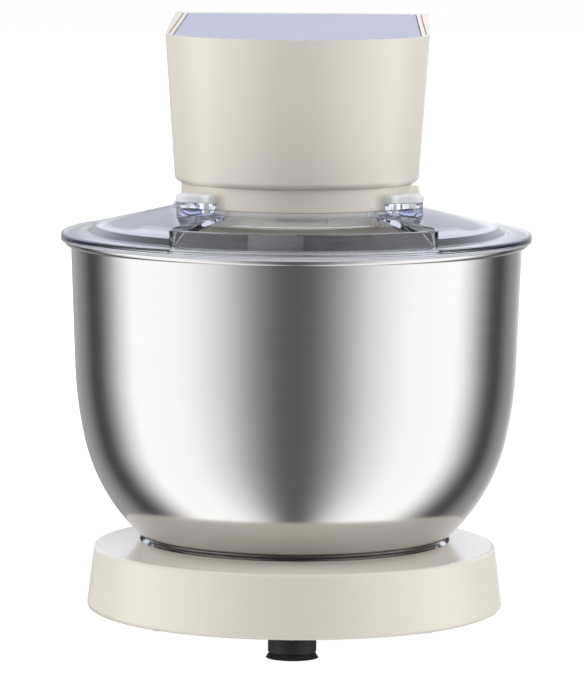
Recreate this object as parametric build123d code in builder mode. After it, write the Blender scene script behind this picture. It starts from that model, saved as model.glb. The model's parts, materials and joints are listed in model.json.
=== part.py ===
"""Tilt-head stand mixer with a steel bowl, a clear splash lid and a planetary drive.

Millimetres, +Z up, the front faces -Y. The origin lies under the middle of the whole mixer, on the
surface that its feet stand on. Places across the mixer are measured from the bowl's upright axis.
"""
from math import acos, asin, cos, degrees, hypot, pi, radians, sin, tan
import os

from build123d import *

# Clearances
FIT_GAP = 0.2
SHAFT_GAP = 0.05
MOVING_GAP = 0.6
SCREW_GAP = 0.05
TIP_GAP = 1.0

# Base
FOOT_HEIGHT = 11.5
FOOT_RADIUS = 11.8
FOOT_LIP = 12.8
FOOT_LIP_HEIGHT = 3.0
FOOT_WAIST = 10.8
FOOT_CUP_DEPTH = 1.2
FOOT_CUP_RADIUS = 10.0
FOOT_STUD = 4.0
FOOT_BARB = 5.5
FRONT_FOOT_INSET = 22.2
SIDE_FOOT_INSET = 30.2
SIDE_FOOT_Y = 36.0
REAR_FOOT_X = 42.0
REAR_FOOT_INSET = 23.0
BASE_TOP = 43.3
BASE_TOP_RADIUS = 100.3
BASE_BOTTOM_RADIUS = 104.2
BASE_TOP_ROUND = 2.0
BASE_BOTTOM_ROUND = 2.5
BASE_WALL = 3.0
TAIL_HALF_WIDTH = 62.0
TAIL_FLARE = 2.0
TAIL_OVERHANG = 0.5
TAIL_CORNER = 28.0
PLATE_THICK = 2.5
PLATE_SCREW_RADIUS = 1.9
PLATE_SCREW_LENGTH = 13.0
PLATE_SCREW_INSET = 12.2
PLATE_SCREW_ANGLES = (-135.0, -45.0, 8.0, 172.0)
PLATE_SCREW_REAR_INSET = 55.0
PLATE_SCREW_REAR_X = 53.0
BOSS_RADIUS = 4.2

# Bowl seat
SEAT_DEPTH = 9.3
SEAT_DROP = 1.2
SEAT_WALL = 3.8
LEDGE_REACH = 2.6
LEDGE_THICK = 2.4
LEDGE_COUNT = 3
LEDGE_ANGLE = 60.0

# Bowl
BOWL_TOP_RADIUS = 112.2
BOWL_TAPER = 2.08
BOWL_STRAIGHT_Z = 134.0
BOWL_UPPER_ARC = 201.0
BOWL_ARC_ANGLE = 12.75
BOWL_LOWER_ARC = 94.0
BOWL_FOOT_ANGLE = 48.0
BOWL_CORNER_ARC = 20.0
BOWL_WALL = 0.9
RIM_DROP = 31.6
BEAD_RADIUS = 2.1
BEAD_OFFSET = 1.26
FOOT_RING_RADIUS = 76.4
FOOT_RING_WALL = 1.2
LUG_REACH = 2.6
LUG_THICK = 2.6
LUG_ANGLE = 36.0

# Lid
LID_OVERHANG = 5.0
LID_LIP = 1.1
LID_LIP_DEPTH = 1.7
LID_THICK = 2.4
LID_STEP_INSET = 8.2
LID_STEP_HEIGHT = 3.0
LID_STEP_RUN = 4.0
LID_SKIRT_DEPTH = 5.5
LID_SKIRT_GAP = 1.8
COLLAR_THICK = 3.2
COLLAR_DROP = 10.7
COLLAR_HEIGHT = 7.3
CONE_DROP = 12.6
CHUTE_HALF_ANGLE = 40.6
CHUTE_WALL = 2.2
CHUTE_CORNER = 10.0
CHUTE_FRONT_DROP = 16.8
CHUTE_BACK_DROP = 13.2
GRIP_OUTER = 70.0
GRIP_END_ANGLE = 58.0
GRIP_DROP = 3.2
LID_REST_TURN = 3.2
LID_TWIST = 30.0
LID_LUG_COUNT = 3
LID_LUG_ANGLE = 24.0
LID_LUG_REACH = 2.0
LID_LUG_THICK = 2.0

# Head
HEAD_HEIGHT = 73.5
HEAD_TOP = 298.7
HEAD_TOP_HALF_WIDTH = 65.75
HEAD_DRAFT = 4.0
HEAD_FLARE = 2.8
HEAD_OVERHANG = 3.0
HEAD_REAR_CORNER = 24.0
HEAD_REAR_ROLL = 24.0
HEAD_BOTTOM_ROUND = 3.5
HEAD_WALL = 3.0
DECK_THICK = 2.6
PANEL_THICK = 2.0
PANEL_FRONT_BORDER = 0.9
PANEL_SIDE_BORDER = 4.4
PANEL_GROOVE = 0.6
PANEL_REAR_INSET = 38.0
TRIM_WIDTH = 0.7
TRIM_DEPTH = 1.2
TRIM_BORDER = 1.7
TRIM_FRONT = -6.0
FLOOR_THICK = 3.0
HEAD_SCREW_X = 51.0
HEAD_SCREW_FRONT_REACH = 76.0
HEAD_SCREW_REAR_INSET = 68.0
HEAD_SCREW_RADIUS = 1.9
HEAD_SCREW_LENGTH = 16.0
SCREW_HEAD_RADIUS = 3.4
SCREW_HEAD_THICK = 1.8
SCREW_HEAD_SHARE = 1.75

# Turret under the head
TURRET_RADIUS = 57.5
TURRET_HEIGHT = 19.2
TURRET_WALL = 3.5
TURRET_LIP = 2.4
RING_LEDGE = 2.0

# Planetary stage
PLANET_MODULE = 1.25
RING_TEETH = 60
PLANET_TEETH = 20
RING_HEIGHT = 14.2
PLANET_DROP = 13.2
PLANET_HEIGHT = 9.0
RING_SCREW_CIRCLE = 46.5
RING_SCREW_COUNT = 4
RING_SCREW_RADIUS = 1.6
RING_SCREW_LENGTH = 9.0
HUB_RADIUS = 51.0
HUB_DROP = 28.2
HUB_HEIGHT = 11.6
HUB_ROUND = 2.5
HUB_CAP = 3.0
TOOL_SHAFT_RADIUS = 5.5
TOOL_SHAFT_REACH = 32.0
TOOL_BUSH_WALL = 2.0
CROSS_PIN_DROP = 18.0
CROSS_PIN_RADIUS = 1.6
CROSS_PIN_HALF_LENGTH = 9.0
TOOL_REST_TURN = 156.0

# Main gear stage
MAIN_MODULE = 1.0
MAIN_TEETH = 64
PINION_TEETH = 16
MAIN_GEAR_LIFT = 29.8
GEAR_HEIGHT = 10.0
MAIN_SHAFT_RADIUS = 6.0
COUNTER_SHAFT_RADIUS = 4.0
BUSH_WALL = 3.0
SHAFT_END = 1.0
BACKLASH = 0.10
ADDENDUM = 0.9
DEDENDUM = 1.2
RING_ADDENDUM = 0.6
TOOTH_GAP = 0.3
PRESSURE_ANGLE = 20.0

# Gearbox
GEARBOX_PLATE_THICK = 4.0
GEARBOX_HALF_WIDTH = 46.0
GEARBOX_FRONT = -42.0
GEARBOX_REAR = 66.0
GEARBOX_CORNER = 16.0
BEARING_BOSS_HEIGHT = 10.0
BEARING_BOSS_WALL = 4.0
COVER_LIFT = 41.8
COVER_THICK = 4.0
PILLAR_X = 38.0
PILLAR_FRONT_Y = -8.0
PILLAR_REAR_Y = 58.0
PILLAR_RADIUS = 4.6
GEARBOX_SCREW_RADIUS = 2.0

# Belt
BELT_LIFT = 12.8
BELT_WIDTH = 8.0
BELT_THICK = 1.6
LARGE_PULLEY_RADIUS = 29.0
BELT_RATIO = 5.0
PULLEY_FLANGE = 1.6
PULLEY_FLANGE_THICK = 1.0
BELT_RUN = 70.0

# Motor
MOTOR_SHAFT_RADIUS = 3.5
END_PLATE_LIFT = 23.8
END_PLATE_THICK = 3.0
END_PLATE_HALF_WIDTH = 38.0
END_PLATE_HALF_DEPTH = 34.0
END_PLATE_CORNER = 9.0
END_RIM_WALL = 3.0
STATOR_RADIUS = 36.0
END_RIM_HEIGHT = 5.0
AIR_GAP = 0.6
ARMATURE_RADIUS = 20.0
COIL_INNER = 22.0
COIL_OUTER = 28.5
COIL_HEIGHT = 4.0
COIL_ANGLE = 110.0
MOTOR_HEADROOM = 4.1
MOTOR_BOLT_X = 31.2
MOTOR_BOLT_RADIUS = 1.6
COMMUTATOR_RADIUS = 9.0
COMMUTATOR_HEIGHT = 4.2
FAN_RADIUS = 19.0
FAN_HEIGHT = 3.6
FAN_BLADES = 12
FAN_DISC_THICK = 1.2
FAN_BLADE_THICK = 1.0
BRUSH_SIZE = 2.8
BRUSH_LENGTH = 10.0
BRUSH_HOLDER_WALL = 1.2
BRUSH_BARE = 3.0

# Column
COLUMN_GAP = 8.8
COLUMN_DEPTH = 117.0
COLUMN_HALF_WIDTH = 55.0
COLUMN_HEAD_GAP = 1.2
COLUMN_WALL = 3.5
COLUMN_CORNER = 16.0
COLUMN_SCREW_X = 40.0
COLUMN_SCREW_INSET = 16.0
COLUMN_SCREW_LENGTH = 12.0
COLUMN_BOSS_HEIGHT = 14.0
WIRE_OPENING_INSET = 8.0
WIRE_HOLE_RADIUS = 10.0
SHELF_DROP = 57.2
SHELF_THICK = 4.0
COVER_HALF_WIDTH = 38.0
COVER_BOTTOM = 60.0
COVER_HEIGHT = 96.0
COVER_TAB = 9.0
COVER_TAB_DEPTH = 5.0
COVER_SCREW_RADIUS = 1.6
VENT_COUNT = 7
VENT_PITCH = 8.0
VENT_WIDTH = 44.0
VENT_HEIGHT = 3.0
VENT_CENTRE_Z = 116.0
GLAND_Z = 74.0
GLAND_RADIUS = 7.0
GLAND_FLANGE = 9.5
GLAND_FLANGE_THICK = 2.6
CORD_BORE = 3.5

# Tilt hinge
HINGE_INSET = 21.0
HINGE_DROP = 15.2
HINGE_PIN_RADIUS = 5.0
PIN_OVERHANG = 2.0
TILT_RANGE = 45.0
TONGUE_HALF_WIDTH = 24.0
TONGUE_LUG_THICK = 6.0
TONGUE_LUG_HALF_DEPTH = 7.5
TONGUE_EYE = 9.5
TONGUE_PLATE_THICK = 4.5
TONGUE_PLATE_AHEAD = 28.0
TONGUE_PLATE_BEHIND = 16.0
TONGUE_BOLT_X = 10.0
TONGUE_BOLT_INSET = 7.0
TONGUE_BOLT_RADIUS = 2.4
HINGE_BUSH_WALL = 2.0
BRACKET_THICK = 4.0
BRACKET_GAP = 2.0
BRACKET_FRONT_INSET = 24.0
BRACKET_REAR_INSET = 9.0
BRACKET_EAR_RADIUS = 10.5
BRACKET_SHOULDER_DROP = 18.2
BRACKET_BOLT_RADIUS = 2.4
BRACKET_BOLT_X = 17.0
BRACKET_BOLT_INSET = 12.0
BRACKET_NUT = 2.5

# Head lock
LATCH_REACH = 11.0
LATCH_DROP = 25.5
LATCH_SHAFT_RADIUS = 4.0
LATCH_LENGTH = 14.0
LATCH_THICK = 5.0
LATCH_HALF_WIDTH = 6.0
LATCH_HUB = 7.0
LATCH_TURN = 65.0
STRIKER_INSET = 24.0
STRIKER_THICK = 3.0
STRIKER_HALF_WIDTH = 12.0
STRIKER_DROP = 35.2
STRIKER_WINDOW_HALF_WIDTH = 7.5
STRIKER_WINDOW_DROP = 10.2
STRIKER_FLANGE_HALF_DEPTH = 9.0
STRIKER_SLOT_SIDE = 2.0
STRIKER_SLOT_FRONT = 7.0
STRIKER_SLOT_REAR = 5.0
LEVER_HUB = 11.0
LEVER_THICK = 8.0
LEVER_CAP = 2.0
LEVER_LENGTH = 36.0
LEVER_TIP = 6.5
LEVER_ANGLE = -60.0

# Speed control
KNOB_REAR_INSET = 57.0
KNOB_Z = 120.0
KNOB_RADIUS = 20.0
KNOB_THICK = 17.0
KNOB_ROUND = 2.0
KNOB_CAP = 5.0
KNOB_FLUTES = 24
FLUTE_RADIUS = 1.2
DIAL_RADIUS = 27.0
DIAL_THICK = 1.4
SPINDLE_RADIUS = 3.0
SWITCH_HALF = 14.0
SWITCH_DEPTH = 14.0
SWITCH_BUSH = 4.6
SWITCH_BACK = 4.0
POINTER_LENGTH = 11.0
POINTER_WIDTH = 2.0
POINTER_DEPTH = 1.0
BOARD_HALF_WIDTH = 32.0
BOARD_BOTTOM = 62.0
BOARD_HEIGHT = 72.0
BOARD_THICK = 1.6
STANDOFF_LENGTH = 9.0
STANDOFF_RADIUS = 3.0
STANDOFF_INSET = 6.0
PART_ON_BOARD = 12.0

# Beater
BEATER_BOTTOM = 54.0
BEATER_HALF_WIDTH = 55.0
BEATER_FOOT_HALF_WIDTH = 34.0
BEATER_SHOULDER_Z = 142.0
BEATER_WIDEST_Z = 108.0
BEATER_BAR = 10.0
BEATER_THICK = 8.0
BEATER_HUB_RADIUS = 10.0
BEATER_HUB_GAP = 1.0
BEATER_COLLAR_RADIUS = 14.0
BEATER_COLLAR_HEIGHT = 12.0
BEATER_SHOULDER_HALF_WIDTH = 40.0

# Worked-out places
LID_RADIUS = BOWL_TOP_RADIUS + LID_OVERHANG
LID_STEP_RADIUS = BOWL_TOP_RADIUS - LID_STEP_INSET
SKIRT_OUTER = BOWL_TOP_RADIUS - BOWL_WALL - LID_SKIRT_GAP
CHUTE_RADIUS = SKIRT_OUTER - LID_THICK - CHUTE_WALL / 2
COLUMN_FRONT = LID_RADIUS + COLUMN_GAP
COLUMN_REAR = COLUMN_FRONT + COLUMN_DEPTH
HEAD_REAR = COLUMN_REAR + HEAD_OVERHANG
TAIL_REAR = COLUMN_REAR + TAIL_OVERHANG
REAR_FOOT_Y = COLUMN_REAR - REAR_FOOT_INSET
PLATE_SCREW_REAR_Y = COLUMN_REAR - PLATE_SCREW_REAR_INSET
PANEL_REAR = HEAD_REAR - PANEL_REAR_INSET
HEAD_SCREW_REAR_Y = HEAD_REAR - HEAD_SCREW_REAR_INSET
COLUMN_SCREW_FRONT_Y = COLUMN_FRONT + COLUMN_SCREW_INSET
COLUMN_SCREW_REAR_Y = COLUMN_REAR - COLUMN_SCREW_INSET
HINGE_Y = COLUMN_REAR - HINGE_INSET
TONGUE_PLATE_FRONT = HINGE_Y - TONGUE_PLATE_AHEAD
TONGUE_PLATE_REAR = HINGE_Y + TONGUE_PLATE_BEHIND
BRACKET_FRONT = COLUMN_FRONT + BRACKET_FRONT_INSET
BRACKET_REAR = COLUMN_REAR - BRACKET_REAR_INSET
STRIKER_Y = COLUMN_FRONT + STRIKER_INSET
LATCH_Y = STRIKER_Y + LATCH_REACH
KNOB_Y = COLUMN_REAR - KNOB_REAR_INSET
HEAD_BOTTOM = HEAD_TOP - HEAD_HEIGHT
COLUMN_TOP = HEAD_BOTTOM - COLUMN_HEAD_GAP
HINGE_Z = HEAD_BOTTOM - HINGE_DROP
LATCH_Z = HEAD_BOTTOM - LATCH_DROP
SHELF_Z = HEAD_BOTTOM - SHELF_DROP
BRACKET_SHOULDER_Z = HEAD_BOTTOM - BRACKET_SHOULDER_DROP
STRIKER_BOTTOM = HEAD_BOTTOM - STRIKER_DROP
STRIKER_WINDOW_TOP = HEAD_BOTTOM - STRIKER_WINDOW_DROP
RIM_BOTTOM = HEAD_BOTTOM - RIM_DROP
COLLAR_TOP = HEAD_BOTTOM - COLLAR_DROP
CONE_TOP = HEAD_BOTTOM - CONE_DROP
CHUTE_FRONT_TOP = HEAD_BOTTOM - CHUTE_FRONT_DROP
CHUTE_BACK_TOP = HEAD_BOTTOM - CHUTE_BACK_DROP
GRIP_TOP = HEAD_BOTTOM - GRIP_DROP
TURRET_BOTTOM = HEAD_BOTTOM - TURRET_HEIGHT
TURRET_GROOVE_Z = TURRET_BOTTOM + TURRET_LIP
RING_BOTTOM = HEAD_BOTTOM - RING_HEIGHT
PLANET_BOTTOM = HEAD_BOTTOM - PLANET_DROP
HUB_BOTTOM = HEAD_BOTTOM - HUB_DROP
HUB_TOP = HUB_BOTTOM + HUB_HEIGHT
TOOL_SHAFT_BOTTOM = HUB_BOTTOM - TOOL_SHAFT_REACH
CROSS_PIN_Z = HUB_BOTTOM - CROSS_PIN_DROP
BEATER_HUB_TOP = HUB_BOTTOM - BEATER_HUB_GAP
FRONT_FOOT_REACH = BASE_BOTTOM_RADIUS - FRONT_FOOT_INSET
SIDE_FOOT_X = BASE_BOTTOM_RADIUS - SIDE_FOOT_INSET
PLATE_SCREW_CIRCLE = BASE_BOTTOM_RADIUS - PLATE_SCREW_INSET
BOWL_Y = (LID_RADIUS - HEAD_REAR) / 2
ORBIT = PLANET_MODULE * (RING_TEETH - PLANET_TEETH) / 2
TOOL_X = -ORBIT * sin(radians(TOOL_REST_TURN))
TOOL_Y = ORBIT * cos(radians(TOOL_REST_TURN))
COUNTER_Y = MAIN_MODULE * (MAIN_TEETH + PINION_TEETH) / 2
MOTOR_Y = COUNTER_Y + BELT_RUN
MOTOR_PULLEY_RADIUS = LARGE_PULLEY_RADIUS / BELT_RATIO
SEAT_FLOOR = BASE_TOP - SEAT_DEPTH
SEAT_TOP = BASE_TOP - SEAT_DROP
SEAT_RADIUS = FOOT_RING_RADIUS + MOVING_GAP
FOOT_INNER = FOOT_RING_RADIUS - FOOT_RING_WALL
FLOOR_TOP = HEAD_BOTTOM + FLOOR_THICK
MAIN_GEAR_Z = FLOOR_TOP + MAIN_GEAR_LIFT
COVER_Z = FLOOR_TOP + COVER_LIFT
BELT_Z = FLOOR_TOP + BELT_LIFT
END_PLATE_Z = FLOOR_TOP + END_PLATE_LIFT
PLATE_TOP = FLOOR_TOP + GEARBOX_PLATE_THICK
COVER_TOP = COVER_Z + COVER_THICK
TONGUE_TOP = FLOOR_TOP + TONGUE_PLATE_THICK
RIM_TOP = RIM_BOTTOM + 2 * BEAD_RADIUS
BEAD_CENTRE = BOWL_TOP_RADIUS + BEAD_OFFSET
LID_UNDER = RIM_TOP + FIT_GAP
COLLAR_INNER = TURRET_RADIUS + MOVING_GAP
COLLAR_OUTER = COLLAR_INNER + COLLAR_THICK
DECK_UNDER = HEAD_TOP - PANEL_THICK - DECK_THICK
UPPER_PLATE_Z = DECK_UNDER - MOTOR_HEADROOM - END_PLATE_THICK
STATOR_Z = END_PLATE_Z + END_PLATE_THICK + END_RIM_HEIGHT
STATOR_TOP = UPPER_PLATE_Z - END_RIM_HEIGHT
STATOR_HEIGHT = STATOR_TOP - STATOR_Z
BRACKET_INNER = TONGUE_HALF_WIDTH + BRACKET_GAP
BRACKET_OUTER = BRACKET_INNER + BRACKET_THICK
BRACKET_FLOOR = SHELF_Z + SHELF_THICK
COLUMN_INSIDE = COLUMN_HALF_WIDTH - COLUMN_WALL
KNOB_BACK = COLUMN_HALF_WIDTH + DIAL_THICK + MOVING_GAP
FRONT_TURN = -90 + LID_REST_TURN
BOWL_AXIS = Axis((0, BOWL_Y, 0), (0, 0, 1))
BOTTOM = (Align.CENTER, Align.CENTER, Align.MIN)

os.makedirs("parts", exist_ok=True)


def level(z):
    """Horizontal plane at a height, with its origin on the bowl axis."""
    return Plane(origin=(0, BOWL_Y, z))


def radial(turn=0.0):
    """Upright plane through the bowl axis, with its first direction pointing outward from the axis."""
    outward = (cos(radians(turn)), sin(radians(turn)), 0)
    normal = (sin(radians(turn)), -cos(radians(turn)), 0)
    return Plane(origin=(0, BOWL_Y, 0), x_dir=outward, z_dir=normal)


def side(x):
    """Upright plane facing +X, with its directions along the mixer and upward."""
    return Plane(origin=(x, BOWL_Y, 0), x_dir=(0, 1, 0), z_dir=(1, 0, 0))


def facing(y):
    """Upright plane facing the front, with its directions across the mixer and upward."""
    return Plane(origin=(0, BOWL_Y + y, 0), x_dir=(1, 0, 0), z_dir=(0, -1, 0))


def point(x, y, z):
    """Place measured from the bowl axis."""
    return (x, BOWL_Y + y, z)


def post(x, y, z, height, radius, mode=Mode.ADD):
    """Upright cylinder standing at a height."""
    with Locations(point(x, y, z)):
        Cylinder(radius, height, align=BOTTOM, mode=mode)


def ring(x, y, z, height, outer, inner):
    """Upright tube standing at a height."""
    post(x, y, z, height, outer)
    post(x, y, z, height, inner, Mode.SUBTRACT)


def cross_rod(x_from, x_to, y, z, radius, mode=Mode.ADD):
    """Round rod lying along X between two places."""
    with Locations(Location(point(x_from, y, z), (0, 90, 0))):
        Cylinder(radius, x_to - x_from, align=BOTTOM, mode=mode)


def block(x_range, y_range, z_range, mode=Mode.ADD):
    """Box between limits on each axis."""
    spans = [b - a for a, b in (x_range, y_range, z_range)]
    middles = [(a + b) / 2 for a, b in (x_range, y_range, z_range)]
    with Locations(point(*middles)):
        Box(*spans, mode=mode)


def screw(x, y, z, length, radius, up=True):
    """Pan-head screw whose shank starts at a height and runs up or down."""
    head_z = z - SCREW_HEAD_THICK if up else z
    shank_z = z if up else z - length
    post(x, y, head_z, SCREW_HEAD_THICK, SCREW_HEAD_SHARE * radius)
    post(x, y, shank_z, length, radius)


def finish(builder, name):
    """Label a finished piece and write it out."""
    builder.part.label = name
    export_step(builder.part, f"parts/{name}.step")


def tooth_half_angle(radius, pitch, thickness):
    """Half the angle that an involute tooth covers at a radius."""
    base = pitch * cos(radians(PRESSURE_ANGLE))
    at_pitch = tan(radians(PRESSURE_ANGLE)) - radians(PRESSURE_ANGLE)
    slope = acos(min(1.0, base / radius))
    return thickness / (2 * pitch) + at_pitch - (tan(slope) - slope)


def gear_points(teeth, module, tip, root, thickness, turn, steps=4):
    """Outline of a spur gear with involute flanks, one tooth pointing along the turn angle."""
    pitch = module * teeth / 2
    base = pitch * cos(radians(PRESSURE_ANGLE))
    start = max(root, base)
    radii = [start + (tip - start) * i / steps for i in range(steps + 1)]
    flank = [(r, tooth_half_angle(r, pitch, thickness)) for r in radii]
    if root < base:
        flank.insert(0, (root, flank[0][1]))
    tooth = [(r, -half) for r, half in flank] + [(r, half) for r, half in reversed(flank)]
    points = []
    for index in range(teeth):
        centre = radians(turn) + 2 * pi * index / teeth
        points += [(r * cos(centre + a), r * sin(centre + a)) for r, a in tooth]
    return points


def spur_points(teeth, module, turn):
    """Outline of an outside gear, thinned a little for backlash."""
    pitch = module * teeth / 2
    tip = pitch + ADDENDUM * module
    root = pitch - DEDENDUM * module
    return gear_points(teeth, module, tip, root, pi * module / 2 - BACKLASH, turn)


def gear_blank(points, x, y, z, height):
    """Toothed disc around an upright shaft."""
    with BuildSketch(level(z)) as outline:
        with BuildLine():
            Polyline(*[(px + x, py + y) for px, py in points], close=True)
        make_face()
    extrude(outline.sketch, amount=height)


def head_outline(plane, nose, rear, inset):
    """Head seen from above: a round nose, sides that widen to the rear, and rounded rear corners."""
    rear_half = nose + HEAD_FLARE
    with BuildSketch(plane) as outline:
        with BuildLine():
            CenterArc((0, 0), nose, 180, 180)
            Polyline((nose, 0), (rear_half, rear), (-rear_half, rear), (-nose, 0))
        make_face()
        fillet(outline.vertices().group_by(Axis.Y)[-1], HEAD_REAR_CORNER - inset)
    return outline.sketch


def head_block(inset, z_from, z_to):
    """Solid head volume between two heights, drawn in on all sides, with its rear top edge rolled."""
    widen = tan(radians(HEAD_DRAFT))
    nose = HEAD_TOP_HALF_WIDTH - HEAD_TOP * widen - inset
    rear = HEAD_REAR - inset
    roll_y = HEAD_REAR - HEAD_REAR_ROLL
    roll_z = HEAD_TOP - HEAD_REAR_ROLL
    radius = HEAD_REAR_ROLL - inset
    half = 2 * HEAD_TOP_HALF_WIDTH
    with BuildPart() as volume:
        lower = head_outline(level(z_from), nose + z_from * widen, rear, inset)
        upper = head_outline(level(z_to), nose + z_to * widen, rear, inset)
        loft([lower, upper], ruled=True)
        with BuildSketch(side(-half)) as corner:
            with BuildLine():
                Polyline((roll_y, HEAD_TOP + 1), (HEAD_REAR + 1, HEAD_TOP + 1), (HEAD_REAR + 1, roll_z),
                         (roll_y + radius, roll_z))
                CenterArc((roll_y, roll_z), radius, 0, 90)
                Line((roll_y, roll_z + radius), (roll_y, HEAD_TOP + 1))
            make_face()
        extrude(corner.sketch, amount=2 * half, mode=Mode.SUBTRACT)
    return volume.part


# Base shell: a round flared disc with a tail under the column and a round recess for the bowl
def base_slope(z):
    """Outer radius of the base disc at a height."""
    share = (z - FOOT_HEIGHT) / (BASE_TOP - FOOT_HEIGHT)
    return BASE_BOTTOM_RADIUS + share * (BASE_TOP_RADIUS - BASE_BOTTOM_RADIUS)


def tail_block(inset, z_from, z_to):
    """Tail of the base between two heights, from the bowl axis to the rear."""
    with BuildPart() as volume:
        faces = []
        for z in (z_from, z_to):
            share = (z - FOOT_HEIGHT) / (BASE_TOP - FOOT_HEIGHT)
            half = TAIL_HALF_WIDTH + TAIL_FLARE * (1 - share) - inset
            rear = TAIL_REAR + TAIL_FLARE * (1 - share) - inset
            with BuildSketch(level(z)) as outline:
                with Locations((0, rear / 2)):
                    Rectangle(2 * half, rear)
                fillet(outline.vertices().group_by(Axis.Y)[-1], TAIL_CORNER - inset)
            faces.append(outline.sketch)
        loft(faces, ruled=True)
    return volume.part


PLATE_SCREWS = [(PLATE_SCREW_CIRCLE * cos(radians(a)), PLATE_SCREW_CIRCLE * sin(radians(a)))
                for a in PLATE_SCREW_ANGLES]
PLATE_SCREWS += [(s * PLATE_SCREW_REAR_X, PLATE_SCREW_REAR_Y) for s in (-1, 1)]
COLUMN_SCREWS = [(s * COLUMN_SCREW_X, y)
                 for s in (-1, 1)
                 for y in (COLUMN_SCREW_FRONT_Y, COLUMN_SCREW_REAR_Y)]
UNDER_TOP = BASE_TOP - BASE_WALL

with BuildPart() as base_shell:
    with BuildSketch(radial()) as disc:
        with BuildLine():
            Polyline((0, FOOT_HEIGHT), (BASE_BOTTOM_RADIUS, FOOT_HEIGHT), (BASE_TOP_RADIUS, BASE_TOP),
                     (0, BASE_TOP), close=True)
        make_face()
    revolve(disc.sketch, axis=BOWL_AXIS)
    add(tail_block(0, FOOT_HEIGHT, BASE_TOP))
    fillet(base_shell.faces().sort_by(Axis.Z)[-1].outer_wire().edges(), BASE_TOP_ROUND)
    fillet(base_shell.faces().sort_by(Axis.Z)[0].outer_wire().edges(), BASE_BOTTOM_ROUND)
    with BuildSketch(radial()) as hollow:
        with BuildLine():
            Polyline((0, FOOT_HEIGHT), (BASE_BOTTOM_RADIUS - BASE_WALL, FOOT_HEIGHT),
                     (base_slope(UNDER_TOP) - BASE_WALL, UNDER_TOP), (0, UNDER_TOP), close=True)
        make_face()
    revolve(hollow.sketch, axis=BOWL_AXIS, mode=Mode.SUBTRACT)
    add(tail_block(BASE_WALL, FOOT_HEIGHT, UNDER_TOP), mode=Mode.SUBTRACT)
    post(0, 0, SEAT_FLOOR - BASE_WALL, SEAT_DEPTH, SEAT_RADIUS + BASE_WALL)
    post(0, 0, SEAT_FLOOR, SEAT_DEPTH, SEAT_RADIUS, Mode.SUBTRACT)
    boss_z = FOOT_HEIGHT + PLATE_THICK
    for sx, sy in PLATE_SCREWS:
        post(sx, sy, boss_z, UNDER_TOP - boss_z, BOSS_RADIUS)
        post(sx, sy, boss_z, PLATE_SCREW_LENGTH, PLATE_SCREW_RADIUS + SCREW_GAP, Mode.SUBTRACT)
    for sx, sy in COLUMN_SCREWS:
        post(sx, sy, UNDER_TOP, BASE_WALL, PLATE_SCREW_RADIUS + SCREW_GAP, Mode.SUBTRACT)
    block((-BOARD_HALF_WIDTH, BOARD_HALF_WIDTH),
          (COLUMN_SCREW_FRONT_Y + WIRE_OPENING_INSET, COLUMN_SCREW_REAR_Y - WIRE_OPENING_INSET),
          (UNDER_TOP, BASE_TOP), Mode.SUBTRACT)
finish(base_shell, "base_shell")

FEET = {
    "suction_foot_front": (0, -FRONT_FOOT_REACH),
    "suction_foot_left": (-SIDE_FOOT_X, SIDE_FOOT_Y),
    "suction_foot_right": (SIDE_FOOT_X, SIDE_FOOT_Y),
    "suction_foot_rear_left": (-REAR_FOOT_X, REAR_FOOT_Y),
    "suction_foot_rear_right": (REAR_FOOT_X, REAR_FOOT_Y),
}

with BuildPart() as base_plate:
    post(0, 0, FOOT_HEIGHT, PLATE_THICK, BASE_BOTTOM_RADIUS - BASE_WALL - MOVING_GAP)
    add(tail_block(BASE_WALL + MOVING_GAP, FOOT_HEIGHT, FOOT_HEIGHT + PLATE_THICK))
    for sx, sy in PLATE_SCREWS:
        post(sx, sy, FOOT_HEIGHT, PLATE_THICK, PLATE_SCREW_RADIUS + SCREW_GAP, Mode.SUBTRACT)
    for fx, fy in FEET.values():
        post(fx, fy, FOOT_HEIGHT, PLATE_THICK, FOOT_STUD + SCREW_GAP, Mode.SUBTRACT)
finish(base_plate, "base_plate")

for foot_name, (fx, fy) in FEET.items():
    with BuildPart() as suction_foot:
        post(fx, fy, FOOT_LIP_HEIGHT, FOOT_HEIGHT - FOOT_LIP_HEIGHT, FOOT_RADIUS)
        with Locations(point(fx, fy, 0)):
            Cone(FOOT_LIP, FOOT_WAIST, FOOT_LIP_HEIGHT, align=BOTTOM)
            Cone(FOOT_CUP_RADIUS, FOOT_CUP_RADIUS / 2, FOOT_CUP_DEPTH, align=BOTTOM, mode=Mode.SUBTRACT)
        post(fx, fy, FOOT_HEIGHT, PLATE_THICK, FOOT_STUD)
        with Locations(point(fx, fy, FOOT_HEIGHT + PLATE_THICK)):
            Cone(FOOT_BARB, FOOT_STUD / 2, FOOT_STUD, align=BOTTOM)
    finish(suction_foot, foot_name)

# Bowl seat: a ring inside the bowl's foot, with bayonet ledges that hold the foot's lugs
SEAT_OUTER = FOOT_INNER - LUG_REACH - MOVING_GAP
SEAT_INNER = SEAT_OUTER - SEAT_WALL


def sector(inner, outer, turn, angle):
    """Part of a flat ring, centred on a turn angle."""
    with BuildLine() as edge:
        near = CenterArc((0, 0), inner, turn - angle / 2, angle)
        far = CenterArc((0, 0), outer, turn - angle / 2, angle)
        Line(near @ 0, far @ 0)
        Line(near @ 1, far @ 1)
    make_face(edge.edges())


with BuildPart() as bowl_seat_ring:
    ring(0, 0, SEAT_FLOOR, SEAT_TOP - SEAT_FLOOR, SEAT_OUTER, SEAT_INNER)
    with BuildSketch(level(SEAT_TOP - LEDGE_THICK)) as ledges:
        for index in range(LEDGE_COUNT):
            sector(SEAT_OUTER - SEAT_WALL / 2, SEAT_OUTER + LEDGE_REACH, 90 + index * 360 / LEDGE_COUNT,
                   LEDGE_ANGLE)
    extrude(ledges.sketch, amount=LEDGE_THICK)
finish(bowl_seat_ring, "bowl_seat_ring")

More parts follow.
